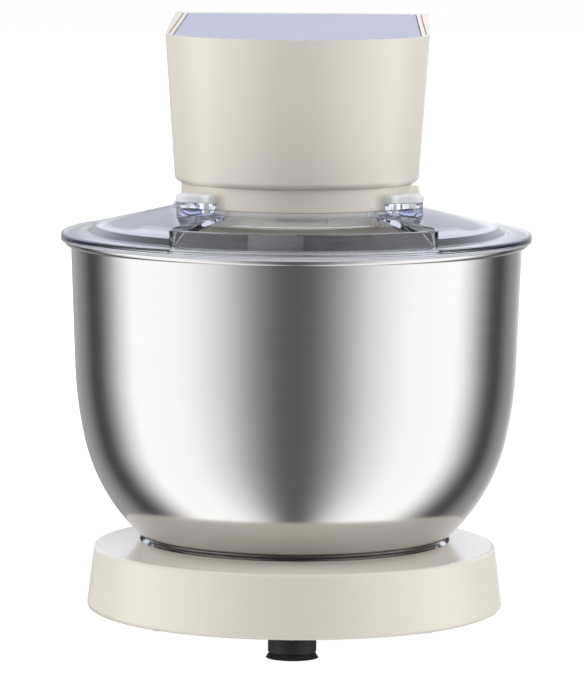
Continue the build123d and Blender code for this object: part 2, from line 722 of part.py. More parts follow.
# Bowl: a nearly straight wall that turns in through two arcs to a flat bottom
slope = radians(BOWL_TAPER)
bend = radians(BOWL_ARC_ANGLE)
foot_bend = radians(BOWL_FOOT_ANGLE)
straight_end = (BOWL_TOP_RADIUS - (RIM_BOTTOM - BOWL_STRAIGHT_Z) * tan(slope), BOWL_STRAIGHT_Z)


def along(start, radius, from_angle, to_angle):
    """End of an arc of the bowl's outline between two wall angles."""
    return (start[0] + radius * (cos(to_angle) - cos(from_angle)),
            start[1] - radius * (sin(to_angle) - sin(from_angle)))


upper_end = along(straight_end, BOWL_UPPER_ARC, slope, bend)
lower_end = along(upper_end, BOWL_LOWER_ARC, bend, foot_bend)
corner_end = along(lower_end, BOWL_CORNER_ARC, foot_bend, pi / 2)
BOWL_UNDER = corner_end[1]


def arc_by_angles(start, radius, from_angle, to_angle):
    """Arc of the bowl's outline between two wall angles."""
    middle = along(start, radius, from_angle, (from_angle + to_angle) / 2)
    ThreePointArc(start, middle, along(start, radius, from_angle, to_angle))


with BuildPart() as bowl:
    with BuildSketch(radial()) as wall:
        with BuildLine() as outline:
            bead_top = RIM_BOTTOM + BEAD_RADIUS
            Line((BOWL_TOP_RADIUS + (bead_top - RIM_BOTTOM) * tan(slope), bead_top), straight_end)
            arc_by_angles(straight_end, BOWL_UPPER_ARC, slope, bend)
            arc_by_angles(upper_end, BOWL_LOWER_ARC, bend, foot_bend)
            arc_by_angles(lower_end, BOWL_CORNER_ARC, foot_bend, pi / 2)
            Line(corner_end, (0, BOWL_UNDER))
            offset(amount=BOWL_WALL, side=Side.RIGHT)
        make_face()
        with Locations((BEAD_CENTRE, RIM_BOTTOM + BEAD_RADIUS)):
            Circle(BEAD_RADIUS)
    revolve(wall.sketch, axis=BOWL_AXIS)
finish(bowl, "bowl")

with BuildPart() as bowl_foot:
    ring_bottom = SEAT_FLOOR + FIT_GAP
    ring(0, 0, ring_bottom, upper_end[1] - ring_bottom, FOOT_RING_RADIUS, FOOT_INNER)
    with BuildSketch(level(SEAT_TOP - LEDGE_THICK - FIT_GAP - LUG_THICK)) as lugs:
        for index in range(LEDGE_COUNT):
            sector(FOOT_INNER - LUG_REACH, FOOT_INNER + FOOT_RING_WALL / 2,
                   90 + index * 360 / LEDGE_COUNT, LUG_ANGLE)
    extrude(lugs.sketch, amount=LUG_THICK)
    with BuildSketch(radial()) as inside:
        with BuildLine():
            arc_by_angles(upper_end, BOWL_LOWER_ARC, bend, foot_bend)
            arc_by_angles(lower_end, BOWL_CORNER_ARC, foot_bend, pi / 2)
            Polyline(corner_end, (0, BOWL_UNDER), (0, upper_end[1]), upper_end)
        make_face()
    revolve(inside.sketch, axis=BOWL_AXIS, mode=Mode.SUBTRACT)
finish(bowl_foot, "bowl_foot")

# Column: an upright hollow post behind the bowl, with its rear top edge cut back for the tilting head
chamfer = radians(TILT_RANGE)
rest_gap = HEAD_BOTTOM - HINGE_Z - MOVING_GAP


def underside_when_tilted(y):
    """Height of the head's underside, less a gap, behind the hinge at full tilt."""
    return HINGE_Z + (rest_gap - (y - HINGE_Y) * sin(chamfer)) / cos(chamfer)


COVER_CORNERS = [(sx * (COVER_HALF_WIDTH - COVER_TAB / 2), z)
                 for sx in (-1, 1)
                 for z in (COVER_BOTTOM + COVER_TAB / 2, COVER_BOTTOM + COVER_HEIGHT - COVER_TAB / 2)]
STANDOFFS = [(sx * (BOARD_HALF_WIDTH - STANDOFF_INSET), z)
             for sx in (-1, 1)
             for z in (BOARD_BOTTOM + STANDOFF_INSET, BOARD_BOTTOM + BOARD_HEIGHT - STANDOFF_INSET)]
BRACKET_BOLTS = [(sx * BRACKET_BOLT_X, y)
                 for sx in (-1, 1)
                 for y in (BRACKET_FRONT + BRACKET_BOLT_INSET, BRACKET_REAR - BRACKET_BOLT_INSET)]
COLUMN_MIDDLE = (COLUMN_REAR + COLUMN_FRONT) / 2


def lying_post(x, z, y_from, y_to, radius, mode=Mode.ADD):
    """Round rod lying along Y between two places."""
    with Locations(Location(point(x, y_from, z), (-90, 0, 0))):
        Cylinder(radius, y_to - y_from, align=BOTTOM, mode=mode)


with BuildPart() as column_shell:
    with BuildSketch(level(BASE_TOP)) as outside:
        with Locations((0, COLUMN_MIDDLE)):
            RectangleRounded(2 * COLUMN_HALF_WIDTH, COLUMN_DEPTH, COLUMN_CORNER)
    extrude(outside.sketch, amount=COLUMN_TOP - BASE_TOP)
    with BuildSketch(level(BASE_TOP)) as inside:
        with Locations((0, COLUMN_MIDDLE)):
            RectangleRounded(2 * COLUMN_INSIDE, COLUMN_DEPTH - 2 * COLUMN_WALL, COLUMN_CORNER - COLUMN_WALL)
    extrude(inside.sketch, amount=SHELF_Z - BASE_TOP, mode=Mode.SUBTRACT)
    with BuildSketch(level(SHELF_Z + SHELF_THICK)) as upper_inside:
        with Locations((0, COLUMN_MIDDLE)):
            RectangleRounded(2 * COLUMN_INSIDE, COLUMN_DEPTH - 2 * COLUMN_WALL, COLUMN_CORNER - COLUMN_WALL)
    extrude(upper_inside.sketch, amount=COLUMN_TOP - COLUMN_WALL - SHELF_Z - SHELF_THICK, mode=Mode.SUBTRACT)
    opening_front = HINGE_Y - hypot(TONGUE_LUG_HALF_DEPTH, HEAD_BOTTOM - HINGE_Z) - MOVING_GAP
    block((-BRACKET_OUTER - FIT_GAP, BRACKET_OUTER + FIT_GAP), (opening_front, COLUMN_REAR - COLUMN_WALL),
          (COLUMN_TOP - COLUMN_WALL, COLUMN_TOP), Mode.SUBTRACT)
    block((-STRIKER_HALF_WIDTH - STRIKER_SLOT_SIDE, STRIKER_HALF_WIDTH + STRIKER_SLOT_SIDE),
          (STRIKER_Y - STRIKER_SLOT_FRONT, STRIKER_Y + STRIKER_SLOT_REAR),
          (COLUMN_TOP - COLUMN_WALL, COLUMN_TOP), Mode.SUBTRACT)
    with BuildSketch(side(-COLUMN_HALF_WIDTH)) as relief:
        with BuildLine():
            reach = COLUMN_REAR + 1
            top = COLUMN_TOP + 1
            lift = asin((COLUMN_TOP - HINGE_Z) / rest_gap)
            arc = CenterArc((HINGE_Y, HINGE_Z), rest_gap, TILT_RANGE, degrees(lift) - TILT_RANGE)
            Polyline(arc @ 1, ((arc @ 1).X, top), (reach, top), (reach, underside_when_tilted(reach)), arc @ 0)
        make_face()
    extrude(relief.sketch, amount=2 * COLUMN_HALF_WIDTH, mode=Mode.SUBTRACT)
    block((-COVER_HALF_WIDTH, COVER_HALF_WIDTH), (COLUMN_REAR - COLUMN_WALL, COLUMN_REAR),
          (COVER_BOTTOM, COVER_BOTTOM + COVER_HEIGHT), Mode.SUBTRACT)
    inner_rear = COLUMN_REAR - COLUMN_WALL
    for sx, sz in COVER_CORNERS:
        reach = COVER_TAB / 2 + COLUMN_WALL
        block((sx - reach, sx + reach), (inner_rear - COVER_TAB_DEPTH, inner_rear), (sz - reach, sz + reach))
        lying_post(sx, sz, inner_rear - COVER_TAB_DEPTH, inner_rear, COVER_SCREW_RADIUS + SCREW_GAP,
                   Mode.SUBTRACT)
    inner_front = COLUMN_FRONT + COLUMN_WALL
    for sx, sz in STANDOFFS:
        lying_post(sx, sz, inner_front - 1, inner_front + STANDOFF_LENGTH, STANDOFF_RADIUS)
    for sx, sy in COLUMN_SCREWS:
        post(sx, sy, BASE_TOP, COLUMN_BOSS_HEIGHT, BOSS_RADIUS)
        block((min(sx, sx * COLUMN_INSIDE / COLUMN_SCREW_X), max(sx, sx * COLUMN_INSIDE / COLUMN_SCREW_X)),
              (sy - 1, sy + 1), (BASE_TOP, BASE_TOP + COLUMN_BOSS_HEIGHT))
        post(sx, sy, BASE_TOP, COLUMN_SCREW_LENGTH, PLATE_SCREW_RADIUS + SCREW_GAP, Mode.SUBTRACT)
    for sx, sy in BRACKET_BOLTS:
        post(sx, sy, SHELF_Z, SHELF_THICK, BRACKET_BOLT_RADIUS + SCREW_GAP, Mode.SUBTRACT)
    post(0, COLUMN_MIDDLE, SHELF_Z, SHELF_THICK, WIRE_HOLE_RADIUS, Mode.SUBTRACT)
    cross_rod(COLUMN_INSIDE - 1, COLUMN_HALF_WIDTH + 1, KNOB_Y, KNOB_Z, SWITCH_BUSH + SCREW_GAP, Mode.SUBTRACT)
    cross_rod(COLUMN_INSIDE - 1, COLUMN_HALF_WIDTH + 1, LATCH_Y, LATCH_Z, LATCH_SHAFT_RADIUS + SHAFT_GAP,
              Mode.SUBTRACT)
finish(column_shell, "column_shell")

with BuildPart() as back_cover:
    block((-COVER_HALF_WIDTH + FIT_GAP, COVER_HALF_WIDTH - FIT_GAP), (COLUMN_REAR - COLUMN_WALL, COLUMN_REAR),
          (COVER_BOTTOM + FIT_GAP, COVER_BOTTOM + COVER_HEIGHT - FIT_GAP))
    with BuildSketch(facing(COLUMN_REAR)) as vents:
        with Locations((0, VENT_CENTRE_Z)):
            with GridLocations(0, VENT_PITCH, 1, VENT_COUNT):
                SlotOverall(VENT_WIDTH, VENT_HEIGHT)
    extrude(vents.sketch, amount=COLUMN_WALL, mode=Mode.SUBTRACT)
    for sx, sz in COVER_CORNERS:
        lying_post(sx, sz, inner_rear, COLUMN_REAR, COVER_SCREW_RADIUS + SCREW_GAP, Mode.SUBTRACT)
    lying_post(0, GLAND_Z, inner_rear, COLUMN_REAR, GLAND_RADIUS + SCREW_GAP, Mode.SUBTRACT)
finish(back_cover, "back_cover")

with BuildPart() as cord_gland:
    lying_post(0, GLAND_Z, inner_rear, COLUMN_REAR, GLAND_RADIUS)
    lying_post(0, GLAND_Z, COLUMN_REAR, COLUMN_REAR + GLAND_FLANGE_THICK, GLAND_FLANGE)
    lying_post(0, GLAND_Z, inner_rear - GLAND_FLANGE_THICK, inner_rear, GLAND_FLANGE)
    lying_post(0, GLAND_Z, inner_rear - GLAND_FLANGE_THICK, COLUMN_REAR + GLAND_FLANGE_THICK, CORD_BORE,
               Mode.SUBTRACT)
finish(cord_gland, "cord_gland")

with BuildPart() as hinge_bracket:
    block((-BRACKET_OUTER, BRACKET_OUTER), (BRACKET_FRONT, BRACKET_REAR),
          (BRACKET_FLOOR, BRACKET_FLOOR + BRACKET_THICK))
    for plate_x in (-BRACKET_OUTER, BRACKET_INNER):
        with BuildSketch(side(plate_x)) as cheek:
            with BuildLine():
                Polyline((BRACKET_FRONT, BRACKET_FLOOR), (BRACKET_REAR, BRACKET_FLOOR),
                         (BRACKET_REAR, HINGE_Z - BRACKET_EAR_RADIUS), (HINGE_Y + BRACKET_EAR_RADIUS, HINGE_Z))
                CenterArc((HINGE_Y, HINGE_Z), BRACKET_EAR_RADIUS, 0, 180)
                ear_front = HINGE_Y - BRACKET_EAR_RADIUS
                Polyline((ear_front, HINGE_Z), (ear_front, BRACKET_SHOULDER_Z),
                         (BRACKET_FRONT, BRACKET_SHOULDER_Z), (BRACKET_FRONT, BRACKET_FLOOR))
            make_face()
            with Locations((HINGE_Y, HINGE_Z)):
                Circle(HINGE_PIN_RADIUS, mode=Mode.SUBTRACT)
            with Locations((LATCH_Y, LATCH_Z)):
                Circle(LATCH_SHAFT_RADIUS + SHAFT_GAP, mode=Mode.SUBTRACT)
        extrude(cheek.sketch, amount=BRACKET_THICK)
    for sx, sy in BRACKET_BOLTS:
        post(sx, sy, BRACKET_FLOOR, BRACKET_THICK, BRACKET_BOLT_RADIUS + SCREW_GAP, Mode.SUBTRACT)
    post(0, COLUMN_MIDDLE, BRACKET_FLOOR, BRACKET_THICK, WIRE_HOLE_RADIUS, Mode.SUBTRACT)
finish(hinge_bracket, "hinge_bracket")

with BuildPart() as base_screws:
    for sx, sy in PLATE_SCREWS:
        screw(sx, sy, FOOT_HEIGHT, PLATE_THICK + PLATE_SCREW_LENGTH - TIP_GAP, PLATE_SCREW_RADIUS)
    for sx, sy in COLUMN_SCREWS:
        screw(sx, sy, UNDER_TOP, BASE_WALL + COLUMN_SCREW_LENGTH - TIP_GAP, PLATE_SCREW_RADIUS)
    for sx, sz in COVER_CORNERS:
        lying_post(sx, sz, COLUMN_REAR, COLUMN_REAR + SCREW_HEAD_THICK, SCREW_HEAD_SHARE * COVER_SCREW_RADIUS)
        lying_post(sx, sz, inner_rear - COVER_TAB_DEPTH + TIP_GAP, COLUMN_REAR, COVER_SCREW_RADIUS)
    for sx, sy in BRACKET_BOLTS:
        screw(sx, sy, SHELF_Z, SHELF_THICK + BRACKET_THICK + BRACKET_NUT, BRACKET_BOLT_RADIUS)
finish(base_screws, "base_screws")

with BuildPart() as hinge_pin:
    cross_rod(-BRACKET_OUTER - PIN_OVERHANG, BRACKET_OUTER + PIN_OVERHANG, HINGE_Y, HINGE_Z, HINGE_PIN_RADIUS)
finish(hinge_pin, "hinge_pin")

# Speed control on the right side of the column
with BuildPart() as dial_plate:
    cross_rod(COLUMN_HALF_WIDTH, COLUMN_HALF_WIDTH + DIAL_THICK, KNOB_Y, KNOB_Z, DIAL_RADIUS)
    cross_rod(COLUMN_HALF_WIDTH, COLUMN_HALF_WIDTH + DIAL_THICK, KNOB_Y, KNOB_Z, SWITCH_BUSH + SCREW_GAP,
              Mode.SUBTRACT)
finish(dial_plate, "dial_plate")

SPINDLE_START = COLUMN_INSIDE - SWITCH_DEPTH + SWITCH_BACK
with BuildPart() as speed_switch:
    block((COLUMN_INSIDE - SWITCH_DEPTH, COLUMN_INSIDE), (KNOB_Y - SWITCH_HALF, KNOB_Y + SWITCH_HALF),
          (KNOB_Z - SWITCH_HALF, KNOB_Z + SWITCH_HALF))
    cross_rod(COLUMN_INSIDE, COLUMN_HALF_WIDTH + DIAL_THICK, KNOB_Y, KNOB_Z, SWITCH_BUSH)
    cross_rod(SPINDLE_START - SHAFT_GAP, COLUMN_HALF_WIDTH + DIAL_THICK, KNOB_Y, KNOB_Z,
              SPINDLE_RADIUS + SHAFT_GAP, Mode.SUBTRACT)
finish(speed_switch, "speed_switch")

KNOB_FACE = KNOB_BACK + KNOB_THICK
SPINDLE_END = KNOB_FACE - KNOB_CAP
with BuildPart() as switch_spindle:
    cross_rod(SPINDLE_START, SPINDLE_END, KNOB_Y, KNOB_Z, SPINDLE_RADIUS)
finish(switch_spindle, "switch_spindle")

with BuildPart() as speed_knob:
    cross_rod(KNOB_BACK, KNOB_FACE, KNOB_Y, KNOB_Z, KNOB_RADIUS)
    fillet(speed_knob.faces().sort_by(Axis.X)[-1].edges(), KNOB_ROUND)
    with BuildSketch(side(KNOB_BACK)) as flutes:
        with Locations((KNOB_Y, KNOB_Z)):
            with PolarLocations(KNOB_RADIUS, KNOB_FLUTES):
                Circle(FLUTE_RADIUS)
    extrude(flutes.sketch, amount=KNOB_THICK - 2 * KNOB_ROUND, mode=Mode.SUBTRACT)
    cross_rod(KNOB_BACK, SPINDLE_END, KNOB_Y, KNOB_Z, SPINDLE_RADIUS, Mode.SUBTRACT)
    pointer_z = KNOB_Z + KNOB_RADIUS - KNOB_ROUND - POINTER_LENGTH
    block((KNOB_FACE - POINTER_DEPTH, KNOB_FACE), (KNOB_Y - POINTER_WIDTH / 2, KNOB_Y + POINTER_WIDTH / 2),
          (pointer_z, pointer_z + POINTER_LENGTH), Mode.SUBTRACT)
finish(speed_knob, "speed_knob")

with BuildPart() as control_board:
    board_y = inner_front + STANDOFF_LENGTH
    block((-BOARD_HALF_WIDTH, BOARD_HALF_WIDTH), (board_y, board_y + BOARD_THICK),
          (BOARD_BOTTOM, BOARD_BOTTOM + BOARD_HEIGHT))
    middle_z = BOARD_BOTTOM + BOARD_HEIGHT / 2
    for px, pz, grow in ((-1, -1, 1.0), (1, -1, 0.7), (-1, 1, 0.8), (1, 1, 1.2)):
        half = grow * PART_ON_BOARD / 2
        cx = px * BOARD_HALF_WIDTH / 2
        cz = middle_z + pz * BOARD_HEIGHT / 4
        block((cx - half, cx + half), (board_y + BOARD_THICK, board_y + BOARD_THICK + grow * PART_ON_BOARD),
              (cz - half, cz + half))
finish(control_board, "control_board")

# Head lock: a lever outside, a cross shaft and a finger that enters the window of the striker
unlocked = radians(180 - LATCH_TURN)


def latch_place(reach, across):
    """Place on the resting latch finger, along it and across it, in the side view."""
    return (LATCH_Y + reach * cos(unlocked) - across * sin(unlocked),
            LATCH_Z + reach * sin(unlocked) + across * cos(unlocked))


LEVER_INNER = COLUMN_HALF_WIDTH + MOVING_GAP
LATCH_SHAFT_END = LEVER_INNER + LEVER_THICK - LEVER_CAP
with BuildPart() as lock_shaft:
    cross_rod(-BRACKET_OUTER - PIN_OVERHANG, LATCH_SHAFT_END, LATCH_Y, LATCH_Z, LATCH_SHAFT_RADIUS)
finish(lock_shaft, "lock_shaft")

with BuildPart() as lock_finger:
    with BuildSketch(side(-LATCH_HALF_WIDTH)) as finger:
        half = LATCH_THICK / 2
        with BuildLine():
            Polyline(latch_place(0, -half), latch_place(LATCH_LENGTH, -half), latch_place(LATCH_LENGTH, half),
                     latch_place(0, half), close=True)
        make_face()
        with Locations((LATCH_Y, LATCH_Z)):
            Circle(LATCH_HUB)
            Circle(LATCH_SHAFT_RADIUS, mode=Mode.SUBTRACT)
    extrude(finger.sketch, amount=2 * LATCH_HALF_WIDTH)
finish(lock_finger, "lock_finger")

with BuildPart() as lock_lever:
    lever_angle = radians(LEVER_ANGLE)
    tip = (LATCH_Y + LEVER_LENGTH * cos(lever_angle), LATCH_Z + LEVER_LENGTH * sin(lever_angle))
    with BuildSketch(side(LEVER_INNER)) as arm:
        with Locations((LATCH_Y, LATCH_Z)):
            Circle(LEVER_HUB)
        with Locations(tip):
            Circle(LEVER_TIP)
        make_hull()
    extrude(arm.sketch, amount=LEVER_THICK)
    fillet(lock_lever.faces().sort_by(Axis.X)[-1].edges(), KNOB_ROUND)
    cross_rod(LEVER_INNER, LATCH_SHAFT_END, LATCH_Y, LATCH_Z, LATCH_SHAFT_RADIUS, Mode.SUBTRACT)
finish(lock_lever, "lock_lever")

# Head: an upper shell with an inlaid top, closed from below by a cover that carries the drive
PANEL_HALF = HEAD_TOP_HALF_WIDTH - PANEL_SIDE_BORDER
HEAD_SCREWS = [(s * HEAD_SCREW_X, y) for s in (-1, 1) for y in (HEAD_SCREW_FRONT_REACH, HEAD_SCREW_REAR_Y)]


def panel_outline(z, gap):
    """Top panel seen from above: the nose arc between straight sides, drawn in by a gap."""
    nose = HEAD_TOP_HALF_WIDTH - PANEL_FRONT_BORDER - gap / 4
    half = PANEL_HALF - gap
    side_y = -(nose ** 2 - half ** 2) ** 0.5
    with BuildSketch(level(z)) as outline:
        with BuildLine():
            ThreePointArc((-half, side_y), (0, -nose), (half, side_y))
            Polyline((half, side_y), (half, PANEL_REAR - gap), (-half, PANEL_REAR - gap), (-half, side_y))
        make_face()
    return outline.sketch


def trim_block(sign, mode=Mode.ADD):
    """Thin strip let into the top beside the panel."""
    outer = sign * (HEAD_TOP_HALF_WIDTH - TRIM_BORDER)
    inner = outer - sign * TRIM_WIDTH
    span = (min(inner, outer), max(inner, outer))
    block(span, (TRIM_FRONT, PANEL_REAR), (HEAD_TOP - TRIM_DEPTH, HEAD_TOP), mode)


with BuildPart() as head_shell:
    add(head_block(0, HEAD_BOTTOM, HEAD_TOP))
    fillet(head_shell.faces().sort_by(Axis.Z)[0].edges(), HEAD_BOTTOM_ROUND)
    add(head_block(HEAD_WALL, HEAD_BOTTOM - 1, DECK_UNDER), mode=Mode.SUBTRACT)
    for sx, sy in HEAD_SCREWS:
        post(sx, sy, FLOOR_TOP, DECK_UNDER - FLOOR_TOP, BOSS_RADIUS)
        post(sx, sy, FLOOR_TOP, HEAD_SCREW_LENGTH, HEAD_SCREW_RADIUS + SCREW_GAP, Mode.SUBTRACT)
    extrude(panel_outline(HEAD_TOP - PANEL_THICK, 0), amount=2 * PANEL_THICK, mode=Mode.SUBTRACT)
    for sign in (-1, 1):
        trim_block(sign, Mode.SUBTRACT)
finish(head_shell, "head_shell")

with BuildPart() as top_panel:
    extrude(panel_outline(HEAD_TOP - PANEL_THICK, PANEL_GROOVE), amount=PANEL_THICK)
finish(top_panel, "top_panel")

for trim_name, sign in (("trim_left", -1), ("trim_right", 1)):
    with BuildPart() as trim:
        trim_block(sign)
    finish(trim, trim_name)

TONGUE_BOLTS = [(s * TONGUE_BOLT_X, y)
                for s in (-1, 1)
                for y in (TONGUE_PLATE_FRONT + TONGUE_BOLT_INSET, TONGUE_PLATE_REAR - TONGUE_BOLT_INSET)]
PILLARS = [(s * PILLAR_X, y) for s in (-1, 1) for y in (PILLAR_FRONT_Y, PILLAR_REAR_Y)]
RING_SCREWS = [(RING_SCREW_CIRCLE * cos(radians(45 + i * 360 / RING_SCREW_COUNT)),
                RING_SCREW_CIRCLE * sin(radians(45 + i * 360 / RING_SCREW_COUNT)))
               for i in range(RING_SCREW_COUNT)]
RING_PITCH = PLANET_MODULE * RING_TEETH / 2
PLANET_TIP = PLANET_MODULE * (PLANET_TEETH / 2 + ADDENDUM)
RING_ROOT = ORBIT + PLANET_TIP + TOOTH_GAP
RING_OUTER = TURRET_RADIUS - TURRET_WALL - FIT_GAP
TURRET_HOLE = RING_ROOT + RING_LEDGE

with BuildPart() as head_bottom_cover:
    add(head_block(HEAD_WALL + FIT_GAP, HEAD_BOTTOM, FLOOR_TOP))
    post(0, 0, TURRET_BOTTOM, HEAD_BOTTOM - TURRET_BOTTOM, TURRET_RADIUS)
    post(0, 0, TURRET_BOTTOM, HEAD_BOTTOM - TURRET_BOTTOM, TURRET_RADIUS - TURRET_WALL, Mode.SUBTRACT)
    post(0, 0, HEAD_BOTTOM, FLOOR_THICK, TURRET_HOLE, Mode.SUBTRACT)
    with BuildSketch(level(TURRET_GROOVE_Z)) as groove:
        Circle(TURRET_RADIUS + 1)
        Circle(TURRET_RADIUS - LID_LUG_REACH, mode=Mode.SUBTRACT)
    extrude(groove.sketch, amount=LID_LUG_THICK + 2 * MOVING_GAP, mode=Mode.SUBTRACT)
    with BuildSketch(level(TURRET_BOTTOM)) as entries:
        for index in range(LID_LUG_COUNT):
            sector(TURRET_RADIUS - LID_LUG_REACH, TURRET_RADIUS + 1,
                   FRONT_TURN + LID_TWIST + index * 360 / LID_LUG_COUNT,
                   LID_LUG_ANGLE + 2 * degrees(MOVING_GAP / TURRET_RADIUS))
    extrude(entries.sketch, amount=TURRET_GROOVE_Z - TURRET_BOTTOM, mode=Mode.SUBTRACT)
    for lug_x in (-TONGUE_HALF_WIDTH, TONGUE_HALF_WIDTH - TONGUE_LUG_THICK):
        block((lug_x - FIT_GAP, lug_x + TONGUE_LUG_THICK + FIT_GAP),
              (HINGE_Y - TONGUE_LUG_HALF_DEPTH - FIT_GAP, HINGE_Y + TONGUE_LUG_HALF_DEPTH + FIT_GAP),
              (HEAD_BOTTOM, FLOOR_TOP), Mode.SUBTRACT)
    block((-STRIKER_HALF_WIDTH - FIT_GAP, STRIKER_HALF_WIDTH + FIT_GAP),
          (STRIKER_Y - STRIKER_THICK / 2 - FIT_GAP, STRIKER_Y + STRIKER_THICK / 2 + FIT_GAP),
          (HEAD_BOTTOM, FLOOR_TOP), Mode.SUBTRACT)
    for sx, sy in HEAD_SCREWS:
        post(sx, sy, HEAD_BOTTOM, FLOOR_THICK, HEAD_SCREW_RADIUS + SCREW_GAP, Mode.SUBTRACT)
        post(sx, sy, HEAD_BOTTOM, SCREW_HEAD_THICK, SCREW_HEAD_RADIUS + FIT_GAP, Mode.SUBTRACT)
    for sx, sy in TONGUE_BOLTS:
        post(sx, sy, HEAD_BOTTOM, FLOOR_THICK, TONGUE_BOLT_RADIUS + SCREW_GAP, Mode.SUBTRACT)
    for sx, sy in PILLARS:
        post(sx, sy, HEAD_BOTTOM, FLOOR_THICK, GEARBOX_SCREW_RADIUS + SCREW_GAP, Mode.SUBTRACT)
    for sx, sy in RING_SCREWS:
        post(sx, sy, HEAD_BOTTOM, FLOOR_THICK, RING_SCREW_RADIUS + SCREW_GAP, Mode.SUBTRACT)
finish(head_bottom_cover, "head_bottom_cover")

with BuildPart() as tilt_tongue:
    block((-TONGUE_HALF_WIDTH, TONGUE_HALF_WIDTH), (TONGUE_PLATE_FRONT, TONGUE_PLATE_REAR),
          (FLOOR_TOP, FLOOR_TOP + TONGUE_PLATE_THICK))
    for lug_x in (-TONGUE_HALF_WIDTH, TONGUE_HALF_WIDTH - TONGUE_LUG_THICK):
        with BuildSketch(side(lug_x)) as lug:
            with Locations((HINGE_Y, HINGE_Z)):
                Circle(TONGUE_EYE)
            with Locations((HINGE_Y, (HINGE_Z + FLOOR_TOP + 1) / 2)):
                Rectangle(2 * TONGUE_LUG_HALF_DEPTH, FLOOR_TOP + 1 - HINGE_Z)
            with Locations((HINGE_Y, HINGE_Z)):
                Circle(HINGE_PIN_RADIUS + HINGE_BUSH_WALL, mode=Mode.SUBTRACT)
        extrude(lug.sketch, amount=TONGUE_LUG_THICK)
    for sx, sy in TONGUE_BOLTS:
        post(sx, sy, FLOOR_TOP, TONGUE_PLATE_THICK, TONGUE_BOLT_RADIUS + SCREW_GAP, Mode.SUBTRACT)
finish(tilt_tongue, "tilt_tongue")

with BuildPart() as tongue_bushes:
    for lug_x in (-TONGUE_HALF_WIDTH, TONGUE_HALF_WIDTH - TONGUE_LUG_THICK):
        lug_end = lug_x + TONGUE_LUG_THICK
        cross_rod(lug_x, lug_end, HINGE_Y, HINGE_Z, HINGE_PIN_RADIUS + HINGE_BUSH_WALL)
        cross_rod(lug_x, lug_end, HINGE_Y, HINGE_Z, HINGE_PIN_RADIUS + SHAFT_GAP, Mode.SUBTRACT)
finish(tongue_bushes, "tongue_bushes")

with BuildPart() as striker:
    plate_span = (STRIKER_Y - STRIKER_THICK / 2, STRIKER_Y + STRIKER_THICK / 2)
    block((-STRIKER_HALF_WIDTH, STRIKER_HALF_WIDTH), plate_span, (STRIKER_BOTTOM, FLOOR_TOP))
    block((-STRIKER_HALF_WIDTH - STRIKER_THICK, STRIKER_HALF_WIDTH + STRIKER_THICK),
          (STRIKER_Y - STRIKER_FLANGE_HALF_DEPTH, STRIKER_Y + STRIKER_FLANGE_HALF_DEPTH),
          (FLOOR_TOP, FLOOR_TOP + STRIKER_THICK))
    block((-STRIKER_WINDOW_HALF_WIDTH, STRIKER_WINDOW_HALF_WIDTH), plate_span,
          (LATCH_Z - LATCH_THICK / 2 - MOVING_GAP, STRIKER_WINDOW_TOP), Mode.SUBTRACT)
finish(striker, "striker")

# Planetary stage inside the turret
with BuildPart() as ring_gear:
    post(0, 0, RING_BOTTOM, HEAD_BOTTOM - RING_BOTTOM, RING_OUTER)
    space = pi * PLANET_MODULE / 2 + BACKLASH
    teeth_tip = RING_PITCH - RING_ADDENDUM * PLANET_MODULE
    with BuildSketch(level(RING_BOTTOM)) as hole:
        with BuildLine():
            Polyline(*gear_points(RING_TEETH, PLANET_MODULE, RING_ROOT, teeth_tip, space, 90), close=True)
        make_face()
    extrude(hole.sketch, amount=HEAD_BOTTOM - RING_BOTTOM, mode=Mode.SUBTRACT)
    for sx, sy in RING_SCREWS:
        post(sx, sy, HEAD_BOTTOM - RING_SCREW_LENGTH, RING_SCREW_LENGTH, RING_SCREW_RADIUS + SCREW_GAP,
             Mode.SUBTRACT)
finish(ring_gear, "ring_gear")

TOOL_BUSH_OUTER = TOOL_SHAFT_RADIUS + TOOL_BUSH_WALL
PIN_SPAN = (TOOL_X - CROSS_PIN_HALF_LENGTH, TOOL_X + CROSS_PIN_HALF_LENGTH)
with BuildPart() as planet_carrier:
    post(0, 0, HUB_BOTTOM, HUB_TOP - HUB_BOTTOM, HUB_RADIUS)
    fillet(planet_carrier.faces().sort_by(Axis.Z)[0].edges(), HUB_ROUND)
    post(TOOL_X, TOOL_Y, HUB_BOTTOM, HUB_TOP - HUB_BOTTOM, TOOL_BUSH_OUTER, Mode.SUBTRACT)
    post(0, 0, HUB_BOTTOM + HUB_CAP, HUB_TOP - HUB_BOTTOM, MAIN_SHAFT_RADIUS, Mode.SUBTRACT)
finish(planet_carrier, "planet_carrier")

with BuildPart() as tool_bush:
    ring(TOOL_X, TOOL_Y, HUB_BOTTOM, HUB_TOP - HUB_BOTTOM, TOOL_BUSH_OUTER, TOOL_SHAFT_RADIUS + SHAFT_GAP)
finish(tool_bush, "tool_bush")

with BuildPart() as tool_shaft:
    post(TOOL_X, TOOL_Y, TOOL_SHAFT_BOTTOM, PLANET_BOTTOM + PLANET_HEIGHT - TOOL_SHAFT_BOTTOM,
         TOOL_SHAFT_RADIUS)
    cross_rod(*PIN_SPAN, TOOL_Y, CROSS_PIN_Z, CROSS_PIN_RADIUS, Mode.SUBTRACT)
finish(tool_shaft, "tool_shaft")

with BuildPart() as cross_pin:
    cross_rod(*PIN_SPAN, TOOL_Y, CROSS_PIN_Z, CROSS_PIN_RADIUS)
finish(cross_pin, "cross_pin")

with BuildPart() as planet_gear:
    teeth = spur_points(PLANET_TEETH, PLANET_MODULE, 90 + TOOL_REST_TURN)
    gear_blank(teeth, TOOL_X, TOOL_Y, PLANET_BOTTOM, PLANET_HEIGHT)
    post(TOOL_X, TOOL_Y, PLANET_BOTTOM, PLANET_HEIGHT, TOOL_SHAFT_RADIUS, Mode.SUBTRACT)
finish(planet_gear, "planet_gear")

